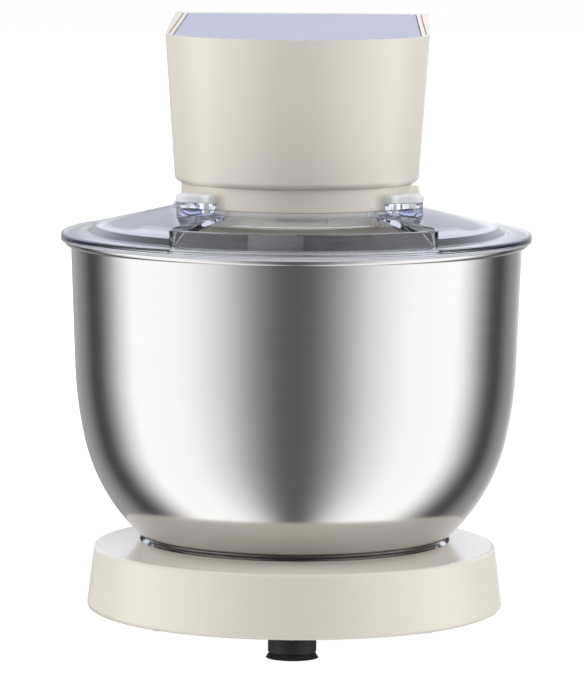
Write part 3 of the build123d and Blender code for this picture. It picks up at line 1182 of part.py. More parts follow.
# Flat beater: a rounded frame with one centre rib, under a collared hub that slides on the tool shaft
def frame_outline(inset):
    """Beater frame drawn in from its outer edge."""
    foot = BEATER_FOOT_HALF_WIDTH - inset / 2
    wide = BEATER_HALF_WIDTH - inset
    shoulder = BEATER_SHOULDER_HALF_WIDTH - inset
    low = BEATER_BOTTOM + inset
    high = BEATER_SHOULDER_Z - inset
    with BuildLine() as edge:
        Spline((-shoulder, high), (-wide, BEATER_WIDEST_Z), (-foot, low), tangents=((-1, 0), (1, 0)))
        Line((-foot, low), (foot, low))
        Spline((foot, low), (wide, BEATER_WIDEST_Z), (shoulder, high), tangents=((1, 0), (-1, 0)))
        Line((shoulder, high), (-shoulder, high))
    make_face(edge.edges())


BEATER_PLANE = facing(TOOL_Y + BEATER_THICK / 2).move(Location((TOOL_X, 0, 0)))
with BuildPart() as beater:
    with BuildSketch(BEATER_PLANE) as window:
        frame_outline(BEATER_BAR)
        with Locations((0, (BEATER_BOTTOM + BEATER_SHOULDER_Z) / 2)):
            Rectangle(BEATER_BAR, BEATER_SHOULDER_Z - BEATER_BOTTOM, mode=Mode.SUBTRACT)
    with BuildSketch(BEATER_PLANE) as frame:
        frame_outline(0)
        add(window.sketch_local, mode=Mode.SUBTRACT)
    extrude(frame.sketch, amount=BEATER_THICK)
    hub_bottom = BEATER_SHOULDER_Z - BEATER_BAR
    post(TOOL_X, TOOL_Y, hub_bottom, BEATER_HUB_TOP - hub_bottom, BEATER_HUB_RADIUS)
    post(TOOL_X, TOOL_Y, BEATER_HUB_TOP - BEATER_COLLAR_HEIGHT, BEATER_COLLAR_HEIGHT, BEATER_COLLAR_RADIUS)
    post(TOOL_X, TOOL_Y, TOOL_SHAFT_BOTTOM - FIT_GAP, BEATER_HUB_TOP, TOOL_SHAFT_RADIUS + SHAFT_GAP,
         Mode.SUBTRACT)
    block((TOOL_X - BEATER_COLLAR_RADIUS, TOOL_X + BEATER_COLLAR_RADIUS),
          (TOOL_Y - CROSS_PIN_RADIUS - FIT_GAP, TOOL_Y + CROSS_PIN_RADIUS + FIT_GAP),
          (CROSS_PIN_Z - CROSS_PIN_RADIUS - FIT_GAP, BEATER_HUB_TOP), Mode.SUBTRACT)
finish(beater, "beater")

# Main gear stage above the floor of the head
MAIN_BUSH = MAIN_SHAFT_RADIUS + BUSH_WALL
COUNTER_BUSH = COUNTER_SHAFT_RADIUS + BUSH_WALL
BOSSES = ((0, MAIN_BUSH), (COUNTER_Y, COUNTER_BUSH))


def gearbox_sheet(z, height, front):
    """Flat plate over both shafts, with rounded corners."""
    with BuildSketch(level(z)) as sheet:
        with Locations((0, (front + GEARBOX_REAR) / 2)):
            RectangleRounded(2 * GEARBOX_HALF_WIDTH, GEARBOX_REAR - front, GEARBOX_CORNER)
    extrude(sheet.sketch, amount=height)


with BuildPart() as gearbox_plate:
    gearbox_sheet(FLOOR_TOP, GEARBOX_PLATE_THICK, GEARBOX_FRONT)
    for by, radius in BOSSES:
        post(0, by, FLOOR_TOP, BEARING_BOSS_HEIGHT, radius + BEARING_BOSS_WALL)
    for by, radius in BOSSES:
        post(0, by, FLOOR_TOP, BEARING_BOSS_HEIGHT, radius, Mode.SUBTRACT)
    for sx, sy in PILLARS:
        post(sx, sy, FLOOR_TOP, GEARBOX_PLATE_THICK, GEARBOX_SCREW_RADIUS + SCREW_GAP, Mode.SUBTRACT)
finish(gearbox_plate, "gearbox_plate")

with BuildPart() as gearbox_cover:
    gearbox_sheet(COVER_Z, COVER_THICK, PILLAR_FRONT_Y - GEARBOX_CORNER)
    for sx, sy in PILLARS:
        post(sx, sy, PLATE_TOP, COVER_Z - PLATE_TOP, PILLAR_RADIUS)
        post(sx, sy, PLATE_TOP, COVER_TOP - PLATE_TOP, GEARBOX_SCREW_RADIUS + SCREW_GAP, Mode.SUBTRACT)
    for by, radius in BOSSES:
        post(0, by, COVER_Z, COVER_THICK, radius, Mode.SUBTRACT)
finish(gearbox_cover, "gearbox_cover")

with BuildPart() as main_shaft:
    post(0, 0, HUB_BOTTOM + HUB_CAP, COVER_TOP + SHAFT_END - HUB_BOTTOM - HUB_CAP, MAIN_SHAFT_RADIUS)
finish(main_shaft, "main_shaft")

with BuildPart() as main_gear:
    gear_blank(spur_points(MAIN_TEETH, MAIN_MODULE, 90), 0, 0, MAIN_GEAR_Z, GEAR_HEIGHT)
    post(0, 0, MAIN_GEAR_Z, GEAR_HEIGHT, MAIN_SHAFT_RADIUS, Mode.SUBTRACT)
finish(main_gear, "main_gear")

with BuildPart() as counter_shaft:
    post(0, COUNTER_Y, FLOOR_TOP + FIT_GAP, COVER_TOP + SHAFT_END - FLOOR_TOP - FIT_GAP, COUNTER_SHAFT_RADIUS)
finish(counter_shaft, "counter_shaft")

with BuildPart() as counter_pinion:
    half_tooth = 180 / PINION_TEETH
    teeth = spur_points(PINION_TEETH, MAIN_MODULE, half_tooth - 90)
    gear_blank(teeth, 0, COUNTER_Y, MAIN_GEAR_Z, GEAR_HEIGHT)
    post(0, COUNTER_Y, MAIN_GEAR_Z, GEAR_HEIGHT, COUNTER_SHAFT_RADIUS, Mode.SUBTRACT)
finish(counter_pinion, "counter_pinion")


def flanged_pulley(y, radius, bore):
    """Flat belt pulley with a thin flange above and below the belt."""
    post(0, y, BELT_Z - FIT_GAP, BELT_WIDTH + 2 * FIT_GAP, radius)
    for z in (BELT_Z - FIT_GAP - PULLEY_FLANGE_THICK, BELT_Z + BELT_WIDTH + FIT_GAP):
        post(0, y, z, PULLEY_FLANGE_THICK, radius + PULLEY_FLANGE)
    post(0, y, BELT_Z - 2 * PULLEY_FLANGE_THICK, BELT_WIDTH + 4 * PULLEY_FLANGE_THICK, bore, Mode.SUBTRACT)


with BuildPart() as large_pulley:
    flanged_pulley(COUNTER_Y, LARGE_PULLEY_RADIUS, COUNTER_SHAFT_RADIUS)
finish(large_pulley, "large_pulley")

with BuildPart() as drive_belt:
    for grow, mode in ((FIT_GAP + BELT_THICK, Mode.ADD), (FIT_GAP, Mode.SUBTRACT)):
        with BuildSketch(level(BELT_Z)) as loop:
            with Locations((0, COUNTER_Y)):
                Circle(LARGE_PULLEY_RADIUS + grow)
            with Locations((0, MOTOR_Y)):
                Circle(MOTOR_PULLEY_RADIUS + grow)
            make_hull()
        extrude(loop.sketch, amount=BELT_WIDTH, mode=mode)
finish(drive_belt, "drive_belt")

# Motor, upright behind the gearbox
END_TOP = END_PLATE_Z + END_PLATE_THICK
UPPER_TOP = UPPER_PLATE_Z + END_PLATE_THICK
MOTOR_BUSH = MOTOR_SHAFT_RADIUS + BUSH_WALL
MOTOR_FOOT_X = END_PLATE_HALF_WIDTH - END_PLATE_CORNER
MOTOR_FOOT_Y = END_PLATE_HALF_DEPTH - END_PLATE_CORNER
MOTOR_FEET = [(sx * MOTOR_FOOT_X, MOTOR_Y + sy * MOTOR_FOOT_Y) for sx in (-1, 1) for sy in (-1, 1)]


def end_plate(z):
    """Motor end plate with rounded corners and a bush hole."""
    with BuildSketch(level(z)) as sheet:
        with Locations((0, MOTOR_Y)):
            RectangleRounded(2 * END_PLATE_HALF_WIDTH, 2 * END_PLATE_HALF_DEPTH, END_PLATE_CORNER)
            Circle(MOTOR_BUSH, mode=Mode.SUBTRACT)
    extrude(sheet.sketch, amount=END_PLATE_THICK)


def end_rim(z, height):
    """Ring of an end plate that clamps the stator."""
    with BuildSketch(level(z)) as rim:
        with Locations((0, MOTOR_Y)):
            Circle(STATOR_RADIUS - MOVING_GAP - FIT_GAP)
            Circle(STATOR_RADIUS - MOVING_GAP - FIT_GAP - END_RIM_WALL, mode=Mode.SUBTRACT)
    extrude(rim.sketch, amount=height)


def motor_bolt_holes(z, height):
    """Holes for both through bolts of the motor."""
    for sign in (-1, 1):
        post(sign * MOTOR_BOLT_X, MOTOR_Y, z, height, MOTOR_BOLT_RADIUS + SCREW_GAP, Mode.SUBTRACT)


with BuildPart() as motor_lower_plate:
    end_plate(END_PLATE_Z)
    end_rim(END_TOP, STATOR_Z - END_TOP)
    for sx, sy in MOTOR_FEET:
        post(sx, sy, FLOOR_TOP, END_PLATE_Z - FLOOR_TOP, BOSS_RADIUS)
    motor_bolt_holes(END_PLATE_Z, STATOR_Z - END_PLATE_Z)
finish(motor_lower_plate, "motor_lower_plate")

BRUSH_Z = STATOR_TOP + FIT_GAP + BRUSH_HOLDER_WALL
BRUSH_NEAR = COMMUTATOR_RADIUS + FIT_GAP


def brush_block(sign, start, length, grow, top, mode=Mode.ADD):
    """Bar lying outward from the commutator on one side."""
    near = sign * start
    far = sign * (start + length)
    half = BRUSH_SIZE / 2 + grow
    block((min(near, far), max(near, far)), (MOTOR_Y - half, MOTOR_Y + half), (BRUSH_Z - grow, top), mode)


with BuildPart() as motor_upper_plate:
    end_plate(UPPER_PLATE_Z)
    end_rim(STATOR_TOP, UPPER_PLATE_Z - STATOR_TOP)
    for sign in (-1, 1):
        brush_block(sign, BRUSH_NEAR + BRUSH_BARE, BRUSH_LENGTH, BRUSH_HOLDER_WALL, UPPER_PLATE_Z)
        brush_block(sign, BRUSH_NEAR, BRUSH_LENGTH, SCREW_GAP, BRUSH_Z + BRUSH_SIZE + SCREW_GAP, Mode.SUBTRACT)
    motor_bolt_holes(STATOR_TOP, UPPER_TOP - STATOR_TOP)
finish(motor_upper_plate, "motor_upper_plate")

with BuildPart() as stator:
    ring(0, MOTOR_Y, STATOR_Z, STATOR_HEIGHT, STATOR_RADIUS, ARMATURE_RADIUS + AIR_GAP)
    motor_bolt_holes(STATOR_Z, STATOR_HEIGHT)
finish(stator, "stator")

with BuildPart() as head_screws:
    for sx, sy in HEAD_SCREWS:
        post(sx, sy, HEAD_BOTTOM, SCREW_HEAD_THICK, SCREW_HEAD_RADIUS)
        post(sx, sy, HEAD_BOTTOM, FLOOR_THICK + HEAD_SCREW_LENGTH - TIP_GAP, HEAD_SCREW_RADIUS)
    for sx, sy in PILLARS:
        screw(sx, sy, COVER_TOP, COVER_TOP - HEAD_BOTTOM, GEARBOX_SCREW_RADIUS, up=False)
    for sx, sy in RING_SCREWS:
        post(sx, sy, HEAD_BOTTOM - RING_SCREW_LENGTH + TIP_GAP, RING_SCREW_LENGTH - TIP_GAP + FLOOR_THICK,
             RING_SCREW_RADIUS)
    for sx, sy in TONGUE_BOLTS:
        screw(sx, sy, TONGUE_TOP, TONGUE_TOP - HEAD_BOTTOM, TONGUE_BOLT_RADIUS, up=False)
    for sign in (-1, 1):
        screw(sign * MOTOR_BOLT_X, MOTOR_Y, UPPER_TOP, UPPER_TOP - END_PLATE_Z, MOTOR_BOLT_RADIUS, up=False)
finish(head_screws, "head_screws")

with BuildPart() as field_coils:
    for z in (STATOR_Z - COIL_HEIGHT, STATOR_TOP):
        with BuildSketch(Plane(origin=point(0, MOTOR_Y, z))) as heads:
            for turn in (90, 270):
                sector(COIL_INNER, COIL_OUTER, turn, COIL_ANGLE)
        extrude(heads.sketch, amount=COIL_HEIGHT)
finish(field_coils, "field_coils")

with BuildPart() as drive_bushes:
    for by, shaft in ((0, MAIN_SHAFT_RADIUS), (COUNTER_Y, COUNTER_SHAFT_RADIUS)):
        post(0, by, FLOOR_TOP, BEARING_BOSS_HEIGHT, shaft + BUSH_WALL)
        post(0, by, COVER_Z, COVER_THICK, shaft + BUSH_WALL)
        post(0, by, FLOOR_TOP, COVER_TOP - FLOOR_TOP, shaft + SHAFT_GAP, Mode.SUBTRACT)
    post(0, MOTOR_Y, END_PLATE_Z, END_PLATE_THICK, MOTOR_BUSH)
    post(0, MOTOR_Y, UPPER_PLATE_Z, END_PLATE_THICK, MOTOR_BUSH)
    post(0, MOTOR_Y, END_PLATE_Z, UPPER_TOP - END_PLATE_Z, MOTOR_SHAFT_RADIUS + SHAFT_GAP, Mode.SUBTRACT)
finish(drive_bushes, "drive_bushes")

with BuildPart() as motor_shaft:
    shaft_bottom = BELT_Z - 2 * PULLEY_FLANGE_THICK
    post(0, MOTOR_Y, shaft_bottom, UPPER_TOP + SHAFT_END - shaft_bottom, MOTOR_SHAFT_RADIUS)
finish(motor_shaft, "motor_shaft")

with BuildPart() as motor_pulley:
    flanged_pulley(MOTOR_Y, MOTOR_PULLEY_RADIUS, MOTOR_SHAFT_RADIUS)
finish(motor_pulley, "motor_pulley")

with BuildPart() as armature:
    ring(0, MOTOR_Y, STATOR_Z, STATOR_HEIGHT, ARMATURE_RADIUS, MOTOR_SHAFT_RADIUS)
finish(armature, "armature")

COMMUTATOR_Z = STATOR_TOP + FIT_GAP
with BuildPart() as commutator:
    ring(0, MOTOR_Y, COMMUTATOR_Z, COMMUTATOR_HEIGHT, COMMUTATOR_RADIUS, MOTOR_SHAFT_RADIUS)
finish(commutator, "commutator")

with BuildPart() as cooling_fan:
    fan_z = STATOR_Z - FIT_GAP - FAN_HEIGHT
    post(0, MOTOR_Y, fan_z, FAN_DISC_THICK, FAN_RADIUS)
    post(0, MOTOR_Y, fan_z, FAN_HEIGHT, COMMUTATOR_RADIUS)
    with BuildSketch(Plane(origin=point(0, MOTOR_Y, fan_z))) as blades:
        with PolarLocations(0, FAN_BLADES):
            with Locations(((FAN_RADIUS + MOTOR_SHAFT_RADIUS) / 2, 0)):
                Rectangle(FAN_RADIUS - MOTOR_SHAFT_RADIUS - MOVING_GAP, FAN_BLADE_THICK)
    extrude(blades.sketch, amount=FAN_HEIGHT)
    post(0, MOTOR_Y, fan_z, FAN_HEIGHT, MOTOR_SHAFT_RADIUS, Mode.SUBTRACT)
finish(cooling_fan, "cooling_fan")

with BuildPart() as carbon_brushes:
    for sign in (-1, 1):
        brush_block(sign, BRUSH_NEAR, BRUSH_LENGTH, 0, BRUSH_Z + BRUSH_SIZE)
finish(carbon_brushes, "carbon_brushes")

# Splash lid: a clear shallow cone on the rim, with an open feed chute in front and two raised grips
LID_TOP = LID_UNDER + LID_THICK
STEP_INNER = LID_STEP_RADIUS - LID_STEP_RUN
STEP_TOP = LID_TOP + LID_STEP_HEIGHT
COLLAR_BOTTOM = COLLAR_TOP - COLLAR_HEIGHT

with BuildPart() as splash_lid:
    with BuildSketch(radial()) as section:
        with BuildLine():
            Polyline((LID_RADIUS, LID_UNDER - LID_LIP_DEPTH), (LID_RADIUS, LID_TOP),
                     (LID_STEP_RADIUS, LID_TOP), (STEP_INNER, STEP_TOP),
                     (COLLAR_OUTER, CONE_TOP), (COLLAR_OUTER, COLLAR_TOP),
                     (COLLAR_INNER, COLLAR_TOP), (COLLAR_INNER, COLLAR_BOTTOM),
                     (COLLAR_OUTER, COLLAR_BOTTOM), (COLLAR_OUTER, CONE_TOP - LID_THICK),
                     (STEP_INNER - LID_THICK, STEP_TOP - LID_THICK), (SKIRT_OUTER - LID_THICK, LID_UNDER),
                     (SKIRT_OUTER - LID_THICK, LID_UNDER - LID_SKIRT_DEPTH),
                     (SKIRT_OUTER, LID_UNDER - LID_SKIRT_DEPTH), (SKIRT_OUTER, LID_UNDER),
                     (LID_RADIUS - LID_LIP, LID_UNDER), (LID_RADIUS - LID_LIP, LID_UNDER - LID_LIP_DEPTH),
                     close=True)
        make_face()
    revolve(section.sketch, axis=BOWL_AXIS)
    with BuildSketch(level(LID_UNDER)) as chute_outside:
        sector(COLLAR_INNER + COLLAR_THICK / 2, CHUTE_RADIUS + CHUTE_WALL / 2, FRONT_TURN,
               2 * CHUTE_HALF_ANGLE)
        fillet(chute_outside.vertices().sort_by_distance((0, 0, 0))[2:], CHUTE_CORNER)
    extrude(chute_outside.sketch, amount=CHUTE_BACK_TOP - LID_UNDER)
    with BuildSketch(radial(FRONT_TURN)) as above:
        with BuildLine():
            Polyline((CHUTE_RADIUS + CHUTE_WALL, CHUTE_FRONT_TOP), (COLLAR_OUTER, CHUTE_BACK_TOP),
                     (COLLAR_OUTER, CHUTE_BACK_TOP + 1), (CHUTE_RADIUS + CHUTE_WALL, CHUTE_BACK_TOP + 1),
                     close=True)
        make_face()
    revolve(above.sketch, axis=BOWL_AXIS, mode=Mode.SUBTRACT)
    with BuildSketch(level(LID_UNDER - LID_SKIRT_DEPTH)) as chute_inside:
        inner_angle = CHUTE_HALF_ANGLE - degrees(CHUTE_WALL / COLLAR_OUTER)
        sector(COLLAR_OUTER, CHUTE_RADIUS - CHUTE_WALL / 2, FRONT_TURN, 2 * inner_angle)
        fillet(chute_inside.vertices().sort_by_distance((0, 0, 0))[2:], CHUTE_CORNER - CHUTE_WALL)
    extrude(chute_inside.sketch, amount=GRIP_TOP - LID_UNDER + LID_SKIRT_DEPTH, mode=Mode.SUBTRACT)
    with BuildSketch(level(CONE_TOP - LID_THICK)) as grips:
        for sign in (-1, 1):
            turn = FRONT_TURN + sign * (CHUTE_HALF_ANGLE + GRIP_END_ANGLE) / 2
            sector(COLLAR_INNER + COLLAR_THICK / 2, GRIP_OUTER, turn, GRIP_END_ANGLE - CHUTE_HALF_ANGLE)
    extrude(grips.sketch, amount=GRIP_TOP - CONE_TOP + LID_THICK)
    with BuildSketch(level(TURRET_GROOVE_Z + MOVING_GAP)) as lugs:
        for index in range(LID_LUG_COUNT):
            sector(TURRET_RADIUS - LID_LUG_REACH + MOVING_GAP, COLLAR_INNER + COLLAR_THICK / 2,
                   FRONT_TURN + index * 360 / LID_LUG_COUNT, LID_LUG_ANGLE)
    extrude(lugs.sketch, amount=LID_LUG_THICK)
finish(splash_lid, "splash_lid")
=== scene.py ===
# %% [markdown]
# # Dressing a stand mixer
#
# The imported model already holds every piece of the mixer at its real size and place. This lesson
# gives the pieces their looks: a clear lid with rounded edges, a spun steel bowl, glossy cream
# mouldings, and a quiet white studio around them. The frame is loaded first, because every place
# below is read from it.

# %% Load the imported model
import json
from math import acos, asin, cos, pi, radians, sin, tan

import bmesh
import bpy
from mathutils import Matrix, Vector


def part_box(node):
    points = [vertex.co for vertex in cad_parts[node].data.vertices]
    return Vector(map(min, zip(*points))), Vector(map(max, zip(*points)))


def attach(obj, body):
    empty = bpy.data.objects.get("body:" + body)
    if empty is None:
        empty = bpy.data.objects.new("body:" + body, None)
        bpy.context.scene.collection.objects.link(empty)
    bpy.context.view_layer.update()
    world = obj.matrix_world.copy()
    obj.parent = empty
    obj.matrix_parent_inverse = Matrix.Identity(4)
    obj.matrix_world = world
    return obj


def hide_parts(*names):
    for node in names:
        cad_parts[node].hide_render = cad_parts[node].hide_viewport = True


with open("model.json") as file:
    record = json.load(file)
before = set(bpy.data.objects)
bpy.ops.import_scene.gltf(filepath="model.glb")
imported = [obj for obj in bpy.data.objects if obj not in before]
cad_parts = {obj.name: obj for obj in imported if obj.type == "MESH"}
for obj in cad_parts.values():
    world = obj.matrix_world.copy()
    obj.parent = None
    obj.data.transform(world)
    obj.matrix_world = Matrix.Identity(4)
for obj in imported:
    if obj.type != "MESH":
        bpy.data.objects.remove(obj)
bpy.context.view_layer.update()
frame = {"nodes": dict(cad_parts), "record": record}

NODES = frame["nodes"]
MM = 0.001

# %% [markdown]
# A few small helpers serve the whole lesson. One turns a hex colour into the linear values that
# shaders use, one adds a node with its settings and links, and one makes an object out of corner
# points and faces. Rounded outlines are needed again and again, so one helper swaps sharp corners
# for arcs.


# %% Helpers for colours, nodes and meshes
def colour(hex_value):
    """Linear colour with full alpha from an sRGB hex value such as #E8E4DA."""
    parts = [int(hex_value[i:i + 2], 16) / 255 for i in (1, 3, 5)]
    return [c / 12.92 if c <= 0.04045 else ((c + 0.055) / 1.055) ** 2.4 for c in parts] + [1.0]


def add(tree, kind, inputs=None, **settings):
    """Add a node, set its properties, then give each named or numbered input a value or a link."""
    made = tree.nodes.new(kind)
    for key, value in settings.items():
        setattr(made, key, value)
    for key, value in (inputs or {}).items():
        if isinstance(value, bpy.types.NodeSocket):
            tree.links.new(value, made.inputs[key])
        else:
            made.inputs[key].default_value = value
    return made


def show(thing):
    """Put a new object into the scene."""
    bpy.context.scene.collection.objects.link(thing)
    return thing


def mesh_object(name, points, faces, edges=()):
    """New object at the origin, with its place in its mesh."""
    mesh = bpy.data.meshes.new(name)
    mesh.from_pydata(points, edges, faces)
    mesh.update()
    return show(bpy.data.objects.new(name, mesh))


def settle(piece):
    """Bake a piece's modifiers into a plain mesh of its own."""
    graph = bpy.context.evaluated_depsgraph_get()
    mesh = bpy.data.meshes.new_from_object(piece.evaluated_get(graph))
    piece.modifiers.clear()
    old = piece.data
    piece.data = mesh
    mesh.name = piece.name
    bpy.data.meshes.remove(old)
    return piece


def smooth(piece, angle=35.0):
    """Shade a piece smooth, and keep the edges that turn by more than an angle sharp."""
    piece.data.shade_smooth()
    with bpy.context.temp_override(object=piece, active_object=piece, selected_objects=[piece],
                                   selected_editable_objects=[piece]):
        bpy.ops.object.shade_smooth_by_angle(angle=radians(angle))


def size_of(piece):
    """Faces and size of a piece, for the printed notes."""
    return f"{len(piece.data.polygons)} faces, {[round(d / MM, 1) for d in piece.dimensions]} mm"


NEARLY_STRAIGHT = 1e-3  # radians


def rounded(corners, steps=6):
    """Outline with arcs at its corners, given in order as (first, second, radius)."""
    outline = []
    count = len(corners)
    for index, (x, y, radius) in enumerate(corners):
        here = Vector((x, y))
        before = (Vector(corners[index - 1][:2]) - here).normalized()
        after = (Vector(corners[(index + 1) % count][:2]) - here).normalized()
        half = acos(max(-1.0, min(1.0, before.dot(after)))) / 2
        if radius <= 0 or half > pi / 2 - NEARLY_STRAIGHT:
            outline.append(here)
            continue
        reach = radius / tan(half)
        centre = here + (before + after).normalized() * radius / sin(half)
        start = here + before * reach - centre
        turn = start.angle_signed(here + after * reach - centre)
        for step in range(steps + 1):
            outline.append(centre + Matrix.Rotation(-turn * step / steps, 2) @ start)
    return outline


# %% [markdown]
# The photograph was taken from the front with a long lens, a little above the rim of the bowl and a
# hair to the right. The round rims of the bowl, the lid and the base look like flat ellipses, which
# gives the tilt, and the far edge of the head lies off centre, which gives the small swing.

# %% Camera
BOWL_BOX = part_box("bowl")
AXIS_Y = (BOWL_BOX[0].y + BOWL_BOX[1].y) / 2
CAMERA_DISTANCE = 2480.5 * MM
CAMERA_HEIGHT = 424.5 * MM
CAMERA_SIDE = -2.4 * MM
CAMERA_PITCH, CAMERA_ROLL = 0.1139, 0.0062  # radians
CAMERA_SWING = radians(-0.68)
PHOTO_LONG_SIDE = 700
FOCAL_PIXELS = 5000

camera_data = bpy.data.cameras.new("camera")
camera_data.sensor_width = 36.0
camera_data.lens = FOCAL_PIXELS / PHOTO_LONG_SIDE * camera_data.sensor_width
camera = show(bpy.data.objects.new("camera", camera_data))
camera.matrix_world = (Matrix.Translation((0, AXIS_Y, CAMERA_HEIGHT))
                       @ Matrix.Rotation(-CAMERA_SWING, 4, "Z")
                       @ Matrix.Translation((CAMERA_SIDE, -CAMERA_DISTANCE, 0))
                       @ Matrix.Rotation(pi / 2 - CAMERA_PITCH, 4, "X")
                       @ Matrix.Rotation(CAMERA_ROLL, 4, "Z"))
bpy.context.scene.camera = camera
print("camera stands", round(CAMERA_DISTANCE, 3), "m in front of the bowl's axis")

# %% [markdown]
# Polished steel shows the room more than itself, so the room is designed first. Two tall white
# panels stand left and right of the mixer, the camera's side is dark, and behind the mixer the room
# is grey. One colour ramp over the compass direction paints all of it into the world. A polished
# bowl under a lid is a hall of mirrors, so light may be mirrored more often than usual.

# %% Walls of the studio
# Brightness of the room by the angle from the camera's side, the same to the left and to the right
ROOM = ((0, 0.14), (9, 0.17), (18, 0.34), (26, 0.57), (34, 0.87), (44, 1.16), (60, 1.47),
        (92, 1.57), (102, 1.05), (112, 0.42), (121, 0.11), (130, 0.07), (144, 0.33), (156, 0.44),
        (180, 0.36))
scene = bpy.context.scene
scene.view_settings.view_transform = "Standard"
scene.cycles.glossy_bounces = 10
world = bpy.data.worlds.new("studio")
scene.world = world
world.use_nodes = True
sky = world.node_tree
sky.nodes.clear()
toward = add(sky, "ShaderNodeSeparateXYZ", {0: add(sky, "ShaderNodeTexCoord").outputs["Generated"]})
back = add(sky, "ShaderNodeMath", {0: toward.outputs["Y"], 1: -1.0}, operation="MULTIPLY")
compass = add(sky, "ShaderNodeMath", {0: toward.outputs["X"], 1: back.outputs[0]},
              operation="ARCTAN2")
turn = add(sky, "ShaderNodeMapRange", {0: compass.outputs[0], 1: -pi, 2: pi})
ramp = add(sky, "ShaderNodeValToRGB", {0: turn.outputs[0]})
stops = ramp.color_ramp.elements
for side in (-1, 1):
    for angle, bright in ROOM:
        stop = stops.new((side * angle + 180) / 360)
        stop.color = (bright, bright, bright, 1.0)
FARTHEST = ROOM[-1][1]
for end in (stops[0], stops[-1]):
    end.color = (FARTHEST, FARTHEST, FARTHEST, 1.0)
print("room of", len(ROOM), "tones to each side")

# %% [markdown]
# A pale ceiling closes the room and comes down at the back. Its bright back part is there for
# mirrored light alone: the clear lid and the glossy edges need something to shine with, while the
# matt surfaces would only wash out. Rays that come straight from the camera, or through the lid,
# see plain white.

# %% Ceiling and backdrop of the studio
CEILING, CEILING_GLOW, BACKDROP = (1.00, 1.03, 1.14, 1), (1.50, 1.58, 1.85, 1), (1.0, 1.0, 1.0, 1)
CEILING_BACK, CEILING_UP, CEILING_EDGE = 0.62, 0.7, (0.45, 0.95)
GLOW_HIGH, GLOW_BEHIND = (0.05, 0.38), (0.4, 0.9)
lift = add(sky, "ShaderNodeMath", {0: toward.outputs["Z"], 1: CEILING_UP}, operation="MULTIPLY")
slant = add(sky, "ShaderNodeMath", {0: toward.outputs["Y"], 1: CEILING_BACK, 2: lift.outputs[0]},
            operation="MULTIPLY_ADD")
ceiling = add(sky, "ShaderNodeMapRange", {0: slant.outputs[0],
                                          1: CEILING_EDGE[0], 2: CEILING_EDGE[1]})
walls = add(sky, "ShaderNodeMix", {0: ceiling.outputs[0], 6: ramp.outputs[0], 7: CEILING},
            data_type="RGBA")
path = add(sky, "ShaderNodeLightPath")
high = add(sky, "ShaderNodeMapRange", {0: toward.outputs["Z"], 1: GLOW_HIGH[0], 2: GLOW_HIGH[1]})
behind = add(sky, "ShaderNodeMapRange", {0: toward.outputs["Y"],
                                         1: GLOW_BEHIND[0], 2: GLOW_BEHIND[1]})
patch = add(sky, "ShaderNodeMath", {0: high.outputs[0], 1: behind.outputs[0]}, operation="MULTIPLY")
mirrored = add(sky, "ShaderNodeMath", {0: patch.outputs[0], 1: path.outputs["Is Glossy Ray"]},
               operation="MULTIPLY")
glow = add(sky, "ShaderNodeMix", {0: mirrored.outputs[0], 6: walls.outputs[2], 7: CEILING_GLOW},
           data_type="RGBA")
seen = add(sky, "ShaderNodeMath", {0: path.outputs["Is Camera Ray"],
                                   1: path.outputs["Is Transmission Ray"]}, operation="MAXIMUM")
shown = add(sky, "ShaderNodeMix", {0: seen.outputs[0], 6: glow.outputs[2], 7: BACKDROP},
            data_type="RGBA")
light = add(sky, "ShaderNodeBackground", {0: shown.outputs[2]})
add(sky, "ShaderNodeOutputWorld", {0: light.outputs[0]})
print("world of", len(sky.nodes), "nodes")

# %% [markdown]
# The mixer stands on a lit white floor, as on a light table, so it throws no shadow there. The
# floor is kept out of the reflections, and two large soft lamps fill in from the sides without
# being mirrored.

# %% Floor and soft lamps
FLOOR_HALF = 6.0
FLOOR_CORNERS = ((-1, -1), (1, -1), (1, 1), (-1, 1))
LAMP_SIDE, LAMP_AHEAD, LAMP_HEIGHT, LAMP_AIM = 1.5, 0.1, 0.6, 0.15
LAMP_WIDTH, LAMP_TALL, LAMP_WATTS = 0.9, 1.4, 4.0
floor = mesh_object("floor", [(x * FLOOR_HALF, y * FLOOR_HALF, 0) for x, y in FLOOR_CORNERS],
                    [(0, 1, 2, 3)])
floor.visible_glossy = floor.visible_diffuse = False
for side in (-1, 1):
    data = bpy.data.lights.new("softbox", "AREA")
    data.shape, data.size, data.size_y, data.energy = "RECTANGLE", LAMP_WIDTH, LAMP_TALL, LAMP_WATTS
    lamp = show(bpy.data.objects.new("softbox", data))
    lamp.location = (side * LAMP_SIDE, AXIS_Y - LAMP_AHEAD, LAMP_HEIGHT)
    aim = Vector((0, AXIS_Y, LAMP_AIM)) - lamp.location
    lamp.rotation_euler = aim.to_track_quat("-Z", "Y").to_euler()
    lamp.visible_glossy = lamp.visible_transmission = lamp.visible_camera = False
print("soft lamps:", len(bpy.data.lights))


# %% [markdown]
# Each finish starts from what the real material is. A short helper makes a material whose constant
# values sit on the shader's own sockets, and hands back the tree, so the finish can add its
# pattern. Patterns read Object coordinates, which are the mixer's own metres, so sizes are given in
# millimetres.


# %% Starting point of every finish
def finish(name, hex_value, roughness, metallic=0.0, ior=1.5, **sockets):
    """New material; returns it with its tree, its shader and its Object coordinates."""
    made = bpy.data.materials.new(name)
    made.use_nodes = True
    tree = made.node_tree
    tree.nodes.clear()
    values = {"Base Color": colour(hex_value), "Roughness": roughness, "Metallic": metallic,
              "IOR": ior, **sockets}
    shader = add(tree, "ShaderNodeBsdfPrincipled", values)
    add(tree, "ShaderNodeOutputMaterial", {"Surface": shader.outputs[0]})
    return made, tree, shader, add(tree, "ShaderNodeTexCoord").outputs["Object"]


def per_mm(size):
    """Texture scale whose features are about so many millimetres wide."""
    return 1 / (size * MM)


